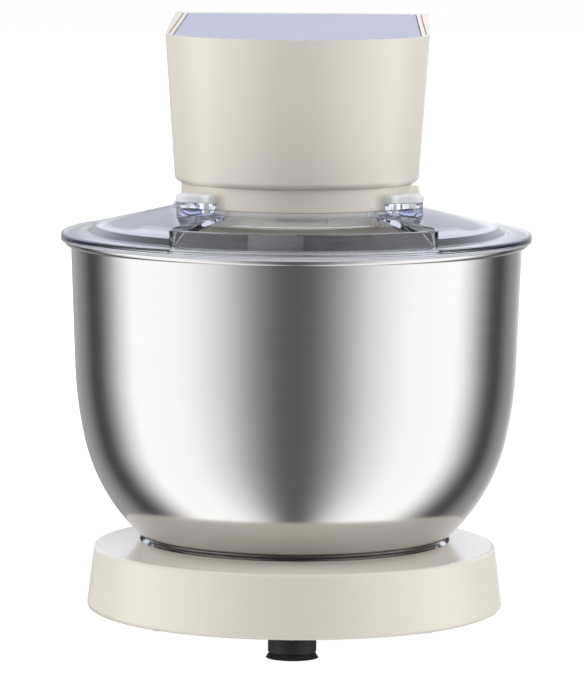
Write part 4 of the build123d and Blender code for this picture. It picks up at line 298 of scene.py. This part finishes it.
NOISE_LOW, NOISE_HIGH = 0.3, 0.7
CLOUD_SHARE = 12  # clouds of tint are so many times as wide as the grain


def grain(tree, shader, where, size, depth, rough, tint=None, detail=3.0):
    """Surface grain: bumps of a size and depth in mm, a span of roughness and two tints."""
    noise = add(tree, "ShaderNodeTexNoise", {"Vector": where, "Scale": per_mm(size),
                                             "Detail": detail})
    bump = add(tree, "ShaderNodeBump", {"Strength": 1.0, "Distance": depth * MM,
                                        "Height": noise.outputs[0]})
    tree.links.new(bump.outputs[0], shader.inputs["Normal"])
    span = add(tree, "ShaderNodeMapRange", {0: noise.outputs[0], 1: NOISE_LOW, 2: NOISE_HIGH,
                                            3: rough[0], 4: rough[1]})
    tree.links.new(span.outputs[0], shader.inputs["Roughness"])
    if tint:
        cloud = add(tree, "ShaderNodeTexNoise",
                    {"Vector": where, "Scale": per_mm(CLOUD_SHARE * size), "Detail": 2.0})
        mixed = add(tree, "ShaderNodeMix", {0: cloud.outputs[0], 6: colour(tint[0]),
                                            7: colour(tint[1])}, data_type="RGBA")
        tree.links.new(mixed.outputs[2], shader.inputs["Base Color"])


def layers(tree, shader, where, density, depth, tones, distortion=0.0):
    """Stacked layers: bands across the height with a depth in mm, between two tones."""
    scale = per_mm(1.0) / (2 * pi) * density
    bands = add(tree, "ShaderNodeTexWave", {"Vector": where, "Scale": scale,
                                            "Distortion": distortion}, bands_direction="Z")
    bump = add(tree, "ShaderNodeBump", {"Strength": 1.0, "Distance": depth * MM,
                                        "Height": bands.outputs["Fac"]})
    tree.links.new(bump.outputs[0], shader.inputs["Normal"])
    tone = add(tree, "ShaderNodeMix", {0: bands.outputs["Fac"], 6: colour(tones[0]),
                                       7: colour(tones[1])}, data_type="RGBA")
    tree.links.new(tone.outputs[2], shader.inputs["Base Color"])


# %% [markdown]
# The casing is glossy injection-moulded ABS in a warm cream. The eye sees a clean colour, a soft
# sheen with slightly uneven edges from the mould's polish, and hardly any texture. The controls
# come from a duller mould, so the fingers find them. The inlaid panel is satin acrylic, and the
# line beside it is gold foil that stays golden at a flat angle, because its edge tint is gold as
# well.

# %% Cream casing, satin controls, inlaid panel and gold line
def cream_abs(name, rough, depth):
    made, tree, shader, where = finish(name, "#EBE5D9", rough, ior=1.53)
    grain(tree, shader, where, 2.6, depth, (rough - 0.03, rough + 0.025), ("#ECE6DB", "#E8E1D4"),
          detail=0.0)
    return made


CREAM = cream_abs("gloss_cream_abs", 0.17, 0.001)
SATIN_CREAM = cream_abs("satin_cream_abs", 0.36, 0.012)

PANEL, tree, shader, where = finish("satin_blue_grey_acrylic", "#A3A7B8", 0.42, ior=1.49)
grain(tree, shader, where, 4.0, 0.0004, (0.40, 0.45), ("#A5A9BA", "#A0A4B5"), detail=0.0)

GOLD, tree, shader, where = finish("gold_foil", "#C9A45C", 0.32, metallic=1.0,
                                   **{"Specular Tint": colour("#B39060")})
grain(tree, shader, where, 0.8, 0.004, (0.29, 0.36), ("#CDA95F", "#BD9850"))
print("finishes so far:", len(bpy.data.materials))

# %% [markdown]
# The bowl is stainless steel that was spun on a lathe and buffed. Buffing leaves rings so fine that
# the eye only sees that reflections are drawn out a little, so the rings here are a third of a
# millimetre apart, coarser than the real ones, and very shallow. They follow the distance from the
# bowl's axis.

# %% Spun steel
STEEL_BOWL, tree, shader, where = finish("spun_stainless_steel", "#D1D0CF", 0.15, metallic=1.0)
part = add(tree, "ShaderNodeSeparateXYZ", {0: where})
level = add(tree, "ShaderNodeCombineXYZ", {0: part.outputs[0], 1: part.outputs[1]})
off_axis = add(tree, "ShaderNodeVectorMath", {0: level.outputs[0], 1: (0.0, AXIS_Y, 0.0)},
               operation="DISTANCE")
around = add(tree, "ShaderNodeCombineXYZ", {0: off_axis.outputs["Value"], 1: part.outputs[2]})
grain(tree, shader, around.outputs[0], 0.35, 0.0006, (0.12, 0.19), detail=2.0)
print("spun steel of", len(tree.nodes), "nodes")

# %% [markdown]
# The machined and cast metals inside are duller. Turned steel shows fine tool marks, the castings a
# pebbly skin, sintered bronze an open grain, and the beater a pale powder coat. The windings are
# enamelled copper wire, and the motor's iron is a stack of thin sheets, so both are banded; wire
# and sheets are drawn coarser than real ones, or the bands would not show.

# %% Metals of the drive and the beater
STEEL, tree, shader, where = finish("turned_steel", "#B4B5B7", 0.34, metallic=1.0)
grain(tree, shader, where, 0.5, 0.003, (0.29, 0.40), ("#B8B9BB", "#A6A8AB"))

CAST, tree, shader, where = finish("cast_aluminium", "#C3C4C5", 0.42, metallic=1.0)
grain(tree, shader, where, 0.9, 0.02, (0.36, 0.50), ("#C6C7C8", "#B5B7B9"))

COATED, tree, shader, where = finish("grey_powder_coat", "#E4E4E2", 0.5)
grain(tree, shader, where, 0.9, 0.01, (0.44, 0.56), ("#E6E6E4", "#DEDEDC"))

BRONZE, tree, shader, where = finish("sintered_bronze", "#A9834C", 0.48, metallic=1.0)
grain(tree, shader, where, 0.4, 0.02, (0.40, 0.58), ("#B08A52", "#8F6C3D"))

COPPER, tree, shader, where = finish("enamelled_copper", "#B7662F", 0.3, metallic=1.0)
layers(tree, shader, where, 1.6, 0.2, ("#8C4A20", "#C4743A"), distortion=1.5)

IRON, tree, shader, where = finish("stacked_iron_sheets", "#55565A", 0.45, metallic=0.9)
layers(tree, shader, where, 2.0, 0.1, ("#3A3B3F", "#63646A"))
print("finishes so far:", len(bpy.data.materials))

# %% [markdown]
# The lid is clear styrene plastic. It is nearly colourless where it is thin, and bluish where light
# runs a long way inside it, as at its edges. So the surface is clear, and a weak absorption in the
# volume gives the tint by the distance that light travels. Flow in the mould leaves the faces a
# little wavy, and the tops of the grips are frosted by a blasted face of the mould.

# %% Clear lid with its frosted grips
def styrene(name, clarity, rough, size, depth):
    made, tree, shader, where = finish(name, "#F6F8FC", rough, ior=1.55,
                                       **{"Transmission Weight": clarity})
    grain(tree, shader, where, size, depth, (rough * 0.8, rough * 1.2), detail=0.0)
    tint = add(tree, "ShaderNodeVolumeAbsorption", {"Color": colour("#A9B8E6"), "Density": 14.0})
    tree.links.new(tint.outputs[0], tree.nodes["Material Output"].inputs["Volume"])
    return made


CLEAR = styrene("clear_styrene", 1.0, 0.02, 18.0, 0.0015)
FROSTED = styrene("frosted_styrene", 0.1, 0.55, 0.4, 0.03)
print("clear and frosted lid:", CLEAR.name, "and", FROSTED.name)

# %% [markdown]
# The feet are moulded rubber, whose matt black drinks the light. The hidden plastics are the usual
# ones: a grained grey for the underside, the fan and the switch, silver for the dial, and milky
# acetal for the quiet gear. Pressed carbon is sooty, and a lacquered board shows its tracks. The
# floor is a lit sheet of opal acrylic.

# %% Rubber, the other plastics and the floor
RUBBER, tree, shader, where = finish("black_rubber", "#1C1C1D", 0.62)
grain(tree, shader, where, 0.7, 0.03, (0.54, 0.74), ("#1E1E1F", "#151516"))

GREY, tree, shader, where = finish("grained_grey_abs", "#535456", 0.5)
grain(tree, shader, where, 0.8, 0.03, (0.44, 0.60), ("#565759", "#4C4D4F"))

DIAL, tree, shader, where = finish("grained_silver_abs", "#A7A9AD", 0.42)
grain(tree, shader, where, 0.6, 0.015, (0.36, 0.50), ("#ABADB1", "#9FA1A6"))

ACETAL, tree, shader, where = finish("natural_acetal", "#DDD9CB", 0.42, ior=1.48)
grain(tree, shader, where, 1.5, 0.008, (0.36, 0.50), ("#E0DCCE", "#D5D0C0"))

CARBON, tree, shader, where = finish("pressed_carbon", "#1A1A1C", 0.52)
grain(tree, shader, where, 0.4, 0.02, (0.42, 0.62), ("#202022", "#131314"))

BOARD, tree, shader, where = finish("lacquered_circuit_board", "#1D5A36", 0.32)
tracks = add(tree, "ShaderNodeTexBrick",
             {"Vector": where, "Scale": per_mm(8.0), "Mortar Size": 0.04,
              "Color1": colour("#1B5533"), "Color2": colour("#205F3A"),
              "Mortar": colour("#4E8A54")})
tree.links.new(tracks.outputs["Color"], shader.inputs["Base Color"])

PALE, tree, shader, where = finish("lit_opal_acrylic", "#606060", 0.6, ior=1.49,
                                   **{"Emission Color": colour("#FFFFFF"),
                                      "Emission Strength": 1.0})
grain(tree, shader, where, 4.0, 0.01, (0.55, 0.65), ("#626262", "#5E5E5E"))
floor.data.materials.append(PALE)
print("finishes so far:", len(bpy.data.materials))

# %% [markdown]
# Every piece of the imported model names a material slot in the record. One small table says which
# finish each slot gets, so a piece that is added to the model later is dressed by itself. The
# beater is cast like the gearbox, but it touches food, so it has a light grey powder coat over the
# casting.

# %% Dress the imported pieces
FINISH_OF_SLOT = {
    "cream_gloss": CREAM, "panel_gloss": PANEL, "gold_trim": GOLD, "clear_lid": CLEAR,
    "bowl_steel": STEEL_BOWL, "steel": STEEL, "cast_aluminium": CAST, "black_rubber": RUBBER,
    "grey_plastic": GREY, "knob_plastic": SATIN_CREAM, "dial_plastic": DIAL, "gear_plastic": ACETAL,
    "bronze": BRONZE, "copper": COPPER, "lamination": IRON, "board_green": BOARD, "carbon": CARBON,
}
FINISH_OF_NODE = {"beater": COATED}
for subpart in frame["record"]["subparts"]:
    node = subpart["node"]
    for place in NODES[node].material_slots:
        place.material = FINISH_OF_NODE.get(node, FINISH_OF_SLOT[subpart["material_slot"]])
print("dressed", len(NODES), "pieces in", len(FINISH_OF_SLOT) + len(FINISH_OF_NODE), "finishes")


# %% [markdown]
# The bowl is spun from one sheet, so its shape is an outline turned about an axis. The same rule
# gives the round part of the lid. A node tree turns any outline: it sweeps the outline round a tiny
# circle, closes the poles and sets the finish. Sweeping keeps the outline's points evenly spaced on
# every ring.

# %% A node tree that turns an outline about the bowl's axis
CORE = 0.5 * MM
POLE_GAP, DOUBLE_GAP = 0.005 * MM, 0.002 * MM
REVOLVE = bpy.data.node_groups.new("turned_outline", "GeometryNodeTree")
SOCKETS = {}
for label, kind in (("Outline", "NodeSocketGeometry"), ("Segments", "NodeSocketInt"),
                    ("Axis", "NodeSocketVector"), ("Finish", "NodeSocketMaterial")):
    socket = REVOLVE.interface.new_socket(label, in_out="INPUT", socket_type=kind)
    SOCKETS[label] = socket.identifier
REVOLVE.interface.new_socket("Geometry", in_out="OUTPUT", socket_type="NodeSocketGeometry")
given = add(REVOLVE, "NodeGroupInput")
outline = add(REVOLVE, "GeometryNodeMeshToCurve", {0: given.outputs["Outline"]})
hoop = add(REVOLVE, "GeometryNodeCurvePrimitiveCircle",
           {"Resolution": given.outputs["Segments"], "Radius": CORE})
swept = add(REVOLVE, "GeometryNodeCurveToMesh", {0: hoop.outputs[0], 1: outline.outputs[0]})
closed = add(REVOLVE, "GeometryNodeMergeByDistance", {0: swept.outputs[0], "Distance": POLE_GAP})
placed = add(REVOLVE, "GeometryNodeTransform",
             {0: closed.outputs[0], "Translation": given.outputs["Axis"]})
whole = add(REVOLVE, "GeometryNodeRealizeInstances", {0: placed.outputs[0]})
dressed = add(REVOLVE, "GeometryNodeSetMaterial",
              {0: whole.outputs[0], "Material": given.outputs["Finish"]})
add(REVOLVE, "NodeGroupOutput", {0: dressed.outputs[0]})


def outward(piece):
    """Merge doubles and turn every face outwards."""
    shape = bmesh.new()
    shape.from_mesh(piece.data)
    bmesh.ops.remove_doubles(shape, verts=shape.verts, dist=DOUBLE_GAP)
    bmesh.ops.recalc_face_normals(shape, faces=shape.faces)
    shape.to_mesh(piece.data)
    shape.free()
    return piece


def turned(name, outline, segments, material, loop):
    """Solid of revolution from (radius, height) points in mm, open at the axis or a closed loop."""
    points = [(r * MM - CORE, -z * MM, 0) for r, z in outline]
    edges = [(i, i + 1) for i in range(len(points) - 1)] + ([(len(points) - 1, 0)] if loop else [])
    piece = mesh_object(name, points, [], edges)
    modifier = piece.modifiers.new("turned", "NODES")
    modifier.node_group = REVOLVE
    modifier[SOCKETS["Segments"]] = segments
    modifier[SOCKETS["Axis"]] = (0.0, AXIS_Y, 0.0)
    modifier[SOCKETS["Finish"]] = material
    return outward(settle(piece))


print("tree for turned pieces with inputs", list(SOCKETS))

# %% [markdown]
# The bowl's wall is nearly straight at the top, leans in through two long curves, and turns under
# with a small one. Each stretch is an arc given by the angle of the wall, so the inside is the same
# outline moved in by the sheet's thickness. The rim is rolled into a bead that stiffens it.

# %% Spun bowl
BOWL_TOP = (112.2, 193.6)
# Each arc: angle of the wall at its start and end in degrees, radius, steps
BOWL_ARCS = ((2.08, 12.75, 201.0, 20), (12.75, 48.0, 94.0, 40), (48.0, 90.0, 20.0, 16))
STRAIGHT_END, STRAIGHT_STEPS, FLOOR_STEPS = 134.0, 12, 8
SHEET = 0.9
BEAD_RADIUS, BEAD_CENTRE = 2.1, (113.46, 195.7)
BOWL_SEGMENTS = 192


def bowl_wall(inset):
    """Bowl's wall from just under the bead to the axis, moved in by a thickness."""
    lean = radians(BOWL_ARCS[0][0])
    drop = BOWL_TOP[1] - STRAIGHT_END
    wall = []
    for i in range(STRAIGHT_STEPS):
        down = drop * i / STRAIGHT_STEPS
        wall.append((BOWL_TOP[0] - down * tan(lean), BOWL_TOP[1] - down, lean))
    r, z = BOWL_TOP[0] - drop * tan(lean), STRAIGHT_END
    for start, end, radius, steps in BOWL_ARCS:
        a = radians(start)
        for i in range(steps):
            b = a + radians(end - start) * i / steps
            wall.append((r + radius * (cos(b) - cos(a)), z - radius * (sin(b) - sin(a)), b))
        b = radians(end)
        r, z = r + radius * (cos(b) - cos(a)), z - radius * (sin(b) - sin(a))
    wall += [(r * (1 - i / FLOOR_STEPS), z, pi / 2) for i in range(FLOOR_STEPS + 1)]
    return [(r - inset * cos(a), z + inset * sin(a)) if r > 0 else (0, z + inset)
            for r, z, a in wall]


BEAD_ANGLES = [radians(a) for a in range(-127, 181, 9)]
bead = [(BEAD_CENTRE[0] + BEAD_RADIUS * cos(a), BEAD_CENTRE[1] + BEAD_RADIUS * sin(a))
        for a in BEAD_ANGLES]
bowl = turned("bowl_steel_wall", bowl_wall(0)[::-1] + bead + bowl_wall(SHEET), BOWL_SEGMENTS,
              STEEL_BOWL, loop=False)
smooth(bowl)
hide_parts("bowl")
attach(bowl, "mixing_bowl")
print("bowl:", size_of(bowl))

# %% [markdown]
# The lid is moulded in one shot, so all its edges are softly rounded, and in clear plastic those
# rounds are what the eye sees: they bend the room into thin bright and dark lines. Its round part
# is a turned outline, whose corners get arcs. The chute and the grips are added to it by booleans.
# Clear plastic hardly shades what lies behind it, so the lid casts no shadow.

# %% Round part of the lid
LID_OUTLINE = ((117.2, 196.3, 0.4), (117.2, 200.4, 1.7), (104.0, 200.4, 1.0), (100.0, 203.4, 1.6),
               (61.3, 212.6, 0.8), (61.3, 214.5, 0.7), (58.1, 214.5, 0.7), (58.1, 207.2, 0.5),
               (61.3, 207.2, 0.5), (61.3, 210.2, 0.8), (97.6, 201.0, 1.6), (107.1, 198.0, 0.6),
               (107.1, 192.5, 0.7), (109.5, 192.5, 0.7), (109.5, 198.0, 0.6), (116.1, 198.0, 0.8),
               (116.1, 196.3, 0.4))
LID_UNDERSIDE = LID_OUTLINE[9:12]
LID_SEGMENTS = 240
lid = turned("lid_clear", rounded(LID_OUTLINE, 5), LID_SEGMENTS, CLEAR, loop=True)
lid.visible_shadow = False
print("lid's round part:", size_of(lid))


# %% [markdown]
# The other shapes on the lid follow closed paths, drawn from above with the front at angle zero.
# One helper carries a small section along such a path and makes a closed solid of it, and a boolean
# then joins or cuts with that solid. The lid stands a little turned in the photograph, so all its
# shapes are turned by the same small angle.

# %% Solids along a path
LID_TURN = radians(3.2)


def polar(radius, angle):
    return Vector((radius * sin(angle), -radius * cos(angle)))


def outward_normals(path):
    """Unit normals of a closed path that runs anticlockwise."""
    ahead = path[1:] + path[:1]
    behind = path[-1:] + path[:-1]
    along = [(a - b).normalized() for a, b in zip(ahead, behind)]
    return [Vector((t.y, -t.x)) for t in along]


def solid_along(name, path, section, cap, turn=LID_TURN):
    """Solid along a closed path; section(radius) lists (offset, height), cap closes the ends."""
    ahead = Matrix.Rotation(turn, 2)
    rings = []
    for spot, normal in zip(path, outward_normals(path)):
        rings.append([(*(ahead @ (spot + offset * normal)), z)
                      for offset, z in section(spot.length)])
    count, size = len(rings), len(rings[0])
    points = [(x * MM, y * MM + AXIS_Y, z * MM) for spot in rings for x, y, z in spot]
    reach = size - 1 if cap else size
    faces = [(i * size + j, (i + 1) % count * size + j, (i + 1) % count * size + (j + 1) % size,
              i * size + (j + 1) % size) for i in range(count) for j in range(reach)]
    if cap:
        faces += [[i * size for i in range(count)][::-1],
                  [i * size + size - 1 for i in range(count)]]
    return outward(mesh_object(name, points, faces))


def combine(piece, other, operation):
    """Join or cut a piece with another solid, which is used up."""
    modifier = piece.modifiers.new(operation, "BOOLEAN")
    modifier.operation, modifier.solver, modifier.object = operation, "EXACT", other
    settle(piece)
    bpy.data.objects.remove(other)


# %% [markdown]
# The feed chute is an opening in the front of the lid with a low wall all round. Seen from above it
# is part of a ring with rounded corners. One path serves twice: a prism on it cuts the opening, and
# a wall with a rounded top follows it. The wall's top falls a little towards the front, as
# ingredients are poured from there.

# %% Feed chute
CHUTE_OUTER, CHUTE_INNER = 106.0, 60.2
CHUTE_HALF = radians(39.8)
CHUTE_CORNER, CHUTE_HEEL = 9.0, 7.0
CUT_LOW, CUT_HIGH = 185.0, 235.0
WALL_HALF, WALL_ROUND, WALL_SINK = 1.1, 0.9, 0.3
CHUTE_FRONT_TOP, CHUTE_BACK_TOP = 208.4, 212.0


def arc(centre, radius, start, end, steps):
    return [centre + polar(radius, start + (end - start) * i / steps) for i in range(steps)]


MIDDLE = Vector((0, 0))
SIDE_TURN = CHUTE_HALF + pi / 2
front_end = CHUTE_HALF - asin(CHUTE_CORNER / (CHUTE_OUTER - CHUTE_CORNER))
heel_end = CHUTE_HALF - asin(CHUTE_HEEL / (CHUTE_INNER + CHUTE_HEEL))
corner = polar(CHUTE_OUTER - CHUTE_CORNER, front_end)
heel = polar(CHUTE_INNER + CHUTE_HEEL, heel_end)
right_half = (arc(MIDDLE, CHUTE_OUTER, 0, front_end, 24)
              + arc(corner, CHUTE_CORNER, front_end, SIDE_TURN, 12)
              + arc(heel, CHUTE_HEEL, SIDE_TURN, heel_end + pi, 10)
              + arc(MIDDLE, CHUTE_INNER, heel_end, 0, 14) + [polar(CHUTE_INNER, 0)])
chute_path = right_half + [Vector((-spot.x, spot.y)) for spot in reversed(right_half[1:-1])]


def under_lid(radius):
    """Height of the lid's underside at a radius, between the corners of its outline."""
    lower = sorted((r, z) for r, z, _ in LID_UNDERSIDE)
    for (r_a, z_a), (r_b, z_b) in zip(lower, lower[1:]):
        if radius <= r_b:
            return z_a + max(0, radius - r_a) * (z_b - z_a) / (r_b - r_a)
    return lower[-1][1]


def chute_wall(radius):
    slope = (CHUTE_FRONT_TOP - CHUTE_BACK_TOP) / (CHUTE_OUTER - CHUTE_INNER)
    top = CHUTE_BACK_TOP + (radius - CHUTE_INNER) * slope
    low = under_lid(radius) - WALL_SINK
    flat = WALL_HALF - WALL_ROUND
    crown = [(WALL_ROUND * cos(radians(a)), top - WALL_ROUND * (1 - sin(radians(a))))
             for a in (0, 30, 60, 90)]
    return ([(WALL_HALF, low)] + [(flat + x, z) for x, z in crown]
            + [(-flat - x, z) for x, z in reversed(crown)] + [(-WALL_HALF, low)])


cutter = solid_along("chute_cut", chute_path, lambda radius: [(0, CUT_LOW), (0, CUT_HIGH)],
                     cap=True)
combine(lid, cutter, "DIFFERENCE")
combine(lid, solid_along("chute_wall", chute_path, chute_wall, cap=False), "UNION")
print("lid with its chute:", size_of(lid))

# %% [markdown]
# Two raised grips stand beside the chute, to turn the lid by. From above their front face swings
# out in an S, which gives the thumb a hold, and their frosted caps are bull-nosed. They and the
# hidden lugs that lock the lid to the head are prisms with a softly rounded top.

# %% Grips and lugs of the lid
GRIP_LOW, GRIP_TOP, GRIP_ROUND, GRIP_CAP, CAP_LIP = 210.6, 222.0, 1.7, 3.8, 0.4
GRIP_START, GRIP_END = 44, 62
GRIP_BACK, GRIP_NEAR, GRIP_SWING = 59.4, 64.0, 6.0
SWING_START, SWING_SPAN, SWING_END = 46.5, 9.5, 58
LUG_LOW, LUG_TOP, LUG_ROUND, LUG_OUTER, LUG_INNER = 209.0, 211.0, 0.3, 59.5, 56.1
LUGS, LUG_HALF_ANGLE = 3, 12
FROST_BELOW = 0.3


def prism(low, top, edge, cap=0.0):
    """Section of a prism whose top edge is rounded, with a slightly wider cap of a given height."""
    lip = CAP_LIP if cap else 0.0
    neck = [(0, top - cap - lip), (lip, top - cap)] if cap else []
    crown = [(lip - edge * (1 - cos(radians(a))), top - edge * (1 - sin(radians(a))))
             for a in range(0, 91, 15)]
    return lambda radius: [(0, low)] + neck + crown


def grip_front(angle):
    """Point on a grip's front face, which swings out in an S between two angles."""
    share = min(1, max(0, (angle - SWING_START) / SWING_SPAN))
    return polar(GRIP_NEAR + GRIP_SWING * share * share * (3 - 2 * share), radians(angle))


grip_corners = [(*polar(GRIP_BACK, radians(GRIP_START)), 0), (*grip_front(GRIP_START), 2.0)]
grip_corners += [(*grip_front(a), 0) for a in range(GRIP_START + 2, SWING_END)]
grip_corners += [(*grip_front(GRIP_END), 3.0)]
grip_corners += [(*polar(GRIP_BACK, radians(a)), 0) for a in range(GRIP_END, GRIP_START, -3)]
grip_path = rounded(grip_corners, 8)
grip_section = prism(GRIP_LOW, GRIP_TOP, GRIP_ROUND, GRIP_CAP)
for mirror in (1, -1):
    path = [Vector((mirror * spot.x, spot.y)) for spot in grip_path[::mirror]]
    combine(lid, solid_along("grip", path, grip_section, cap=True), "UNION")
for index in range(LUGS):
    swing = [2 * pi * index / LUGS + radians(a)
             for a in range(-LUG_HALF_ANGLE, LUG_HALF_ANGLE + 1, 3)]
    path = [polar(LUG_INNER, a) for a in swing[::-1]] + [polar(LUG_OUTER, a) for a in swing]
    combine(lid, solid_along("lug", path, prism(LUG_LOW, LUG_TOP, LUG_ROUND), cap=True), "UNION")
outward(lid)
lid.data.materials.append(FROSTED)
for face in lid.data.polygons:
    if face.center.z > (GRIP_TOP - GRIP_CAP - FROST_BELOW) * MM:
        face.material_index = 1
smooth(lid, 40)
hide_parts("splash_lid")
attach(lid, "lid")
print("whole lid:", size_of(lid))

# %% [markdown]
# The bowl stands on a foot that is pressed from sheet: a flat ring under the bowl, whose edge is
# drawn down into a collar with three inner lugs for the bayonet. Only the ring's edge shows, as one
# bright line in the dark gap under the bowl. It is one more turned outline, with the lugs joined
# on.

# %% Foot of the bowl
FOOT_OUTLINE = ((76.4, 34.2, 0.3), (76.4, 43.9, 0.4), (67.0, 43.9, 0.0), (67.0, 43.0, 0.0),
                (75.2, 43.0, 0.3), (75.2, 34.2, 0.3))
FOOT_LUG_LOW, FOOT_LUG_TOP, FOOT_LUG_OUTER, FOOT_LUG_INNER = 36.9, 39.5, 75.8, 72.6
FOOT_LUG_HALF_ANGLE = 18
foot = turned("bowl_foot_collar", rounded(FOOT_OUTLINE, 4), BOWL_SEGMENTS, STEEL_BOWL, loop=True)
lug_section = prism(FOOT_LUG_LOW, FOOT_LUG_TOP, LUG_ROUND)
for index in range(LUGS):
    swing = [pi + 2 * pi * index / LUGS + radians(a)
             for a in range(-FOOT_LUG_HALF_ANGLE, FOOT_LUG_HALF_ANGLE + 1, 4)]
    path = ([polar(FOOT_LUG_OUTER, a) for a in swing]
            + [polar(FOOT_LUG_INNER, a) for a in swing[::-1]])
    combine(foot, solid_along("lug", path, lug_section, cap=True, turn=0.0), "UNION")
outward(foot)
smooth(foot)
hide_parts("bowl_foot")
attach(foot, "mixing_bowl")
print("foot of the bowl:", size_of(foot))

# %% [markdown]
# The top of the base rises a little towards the bowl, so that spills run off and the bowl's foot
# hides in its seat. A low turned ring, sunk into the base, makes the rise. Its hole is as wide as
# the seat.

# %% Rise around the bowl's seat
RISE_OUTLINE = ((98.2, 42.4, 0.0), (98.2, 43.25, 0.0), (77.2, 46.3, 0.8), (77.2, 41.5, 0.0))
rise = turned("base_top_rise", rounded(RISE_OUTLINE), BOWL_SEGMENTS, CREAM, loop=True)
smooth(rise)
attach(rise, "base")
print("rise of the base:", size_of(rise))

# %% [markdown]
# The speed dial has a tick for every step. Ticks repeat round a circle, so a small tree places one
# bar at every step, turned to point away from the middle. They are printed with a pad, so the ink
# is dull, thin and very slightly uneven.

# %% Ticks of the dial
INK, tree, shader, where = finish("pad_printed_ink", "#3A3B3E", 0.45)
grain(tree, shader, where, 0.5, 0.002, (0.38, 0.52), ("#3C3D40", "#343538"))
DIAL_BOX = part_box("dial_plate")
DIAL_CENTRE = (DIAL_BOX[0] + DIAL_BOX[1]) / 2
DIAL_CENTRE.x = DIAL_BOX[1].x
STEP_ANGLE, STEPS = radians(25.0), 7
TICK_RADIUS, TICK_BAR = 21.9 * MM, (0.12 * MM, 0.5 * MM, 1.6 * MM)

TICKS = bpy.data.node_groups.new("ticks_on_a_circle", "GeometryNodeTree")
tick_sockets = {}
for label, kind in (("Count", "NodeSocketInt"), ("Step", "NodeSocketFloat"),
                    ("Radius", "NodeSocketFloat"), ("Bar", "NodeSocketVector"),
                    ("Centre", "NodeSocketVector"), ("Finish", "NodeSocketMaterial")):
    socket = TICKS.interface.new_socket(label, in_out="INPUT", socket_type=kind)
    tick_sockets[label] = socket.identifier
TICKS.interface.new_socket("Geometry", in_out="OUTPUT", socket_type="NodeSocketGeometry")
given = add(TICKS, "NodeGroupInput")
spots = add(TICKS, "GeometryNodePoints", {"Count": given.outputs["Count"]})
angle = add(TICKS, "ShaderNodeMath", {0: add(TICKS, "GeometryNodeInputIndex").outputs[0],
                                      1: given.outputs["Step"]}, operation="MULTIPLY")
back_turn = add(TICKS, "ShaderNodeMath", {0: angle.outputs[0], 1: -1.0}, operation="MULTIPLY")
swing = add(TICKS, "FunctionNodeAxisAngleToRotation",
            {"Axis": (1.0, 0.0, 0.0), "Angle": back_turn.outputs[0]})
upward = add(TICKS, "ShaderNodeCombineXYZ", {2: given.outputs["Radius"]})
spot = add(TICKS, "FunctionNodeRotateVector", {0: upward.outputs[0], 1: swing.outputs[0]})
at_place = add(TICKS, "ShaderNodeVectorMath", {0: spot.outputs[0], 1: given.outputs["Centre"]},
               operation="ADD")
spread = add(TICKS, "GeometryNodeSetPosition",
             {0: spots.outputs[0], "Position": at_place.outputs[0]})
bar = add(TICKS, "GeometryNodeMeshCube", {"Size": given.outputs["Bar"]})
copies = add(TICKS, "GeometryNodeInstanceOnPoints",
             {0: spread.outputs[0], "Instance": bar.outputs[0], "Rotation": swing.outputs[0]})
whole = add(TICKS, "GeometryNodeRealizeInstances", {0: copies.outputs[0]})
dressed = add(TICKS, "GeometryNodeSetMaterial",
              {0: whole.outputs[0], "Material": given.outputs["Finish"]})
add(TICKS, "NodeGroupOutput", {0: dressed.outputs[0]})

ticks = mesh_object("dial_ticks", [], [])
modifier = ticks.modifiers.new("ticks", "NODES")
modifier.node_group = TICKS
values = {"Count": STEPS, "Step": STEP_ANGLE, "Radius": TICK_RADIUS, "Bar": TICK_BAR, "Finish": INK,
          "Centre": DIAL_CENTRE}
for label, value in values.items():
    modifier[tick_sockets[label]] = value
settle(ticks)
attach(ticks, "base")
print("dial ticks:", size_of(ticks))

# %% [markdown]
# Plain numbers stand outside the ticks, upright so that they can be read from the side. Each is
# text that is made into a mesh at once and laid on the dial's face, because its place belongs in
# its mesh.

# %% Numbers of the dial
NUMBER_HEIGHT, NUMBER_RADIUS, NUMBER_THICK = 2.7 * MM, 24.5 * MM, 0.05 * MM
DIGIT_SHARE = 0.7  # height of a digit as a share of the text's size
FACING_RIGHT = Matrix(((0, 0, 1, 0), (1, 0, 0, 0), (0, 1, 0, 0), (0, 0, 0, 1)))
for number in range(STEPS):
    text = bpy.data.curves.new("number", "FONT")
    text.body, text.size, text.extrude = str(number), NUMBER_HEIGHT / DIGIT_SHARE, NUMBER_THICK
    text.align_x, text.align_y = "CENTER", "CENTER"
    label = show(bpy.data.objects.new(f"dial_number_{number}", text))
    graph = bpy.context.evaluated_depsgraph_get()
    mesh = bpy.data.meshes.new_from_object(label.evaluated_get(graph))
    bpy.data.objects.remove(label)
    turn = STEP_ANGLE * number
    spot = DIAL_CENTRE + NUMBER_RADIUS * Vector((0, sin(turn), cos(turn)))
    mesh.transform(Matrix.Translation(spot) @ FACING_RIGHT)
    mesh.materials.clear()
    mesh.materials.append(INK)
    printed = outward(show(bpy.data.objects.new(f"dial_number_{number}", mesh)))
    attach(printed, "base")
print("dial numbers 0 to", STEPS - 1)
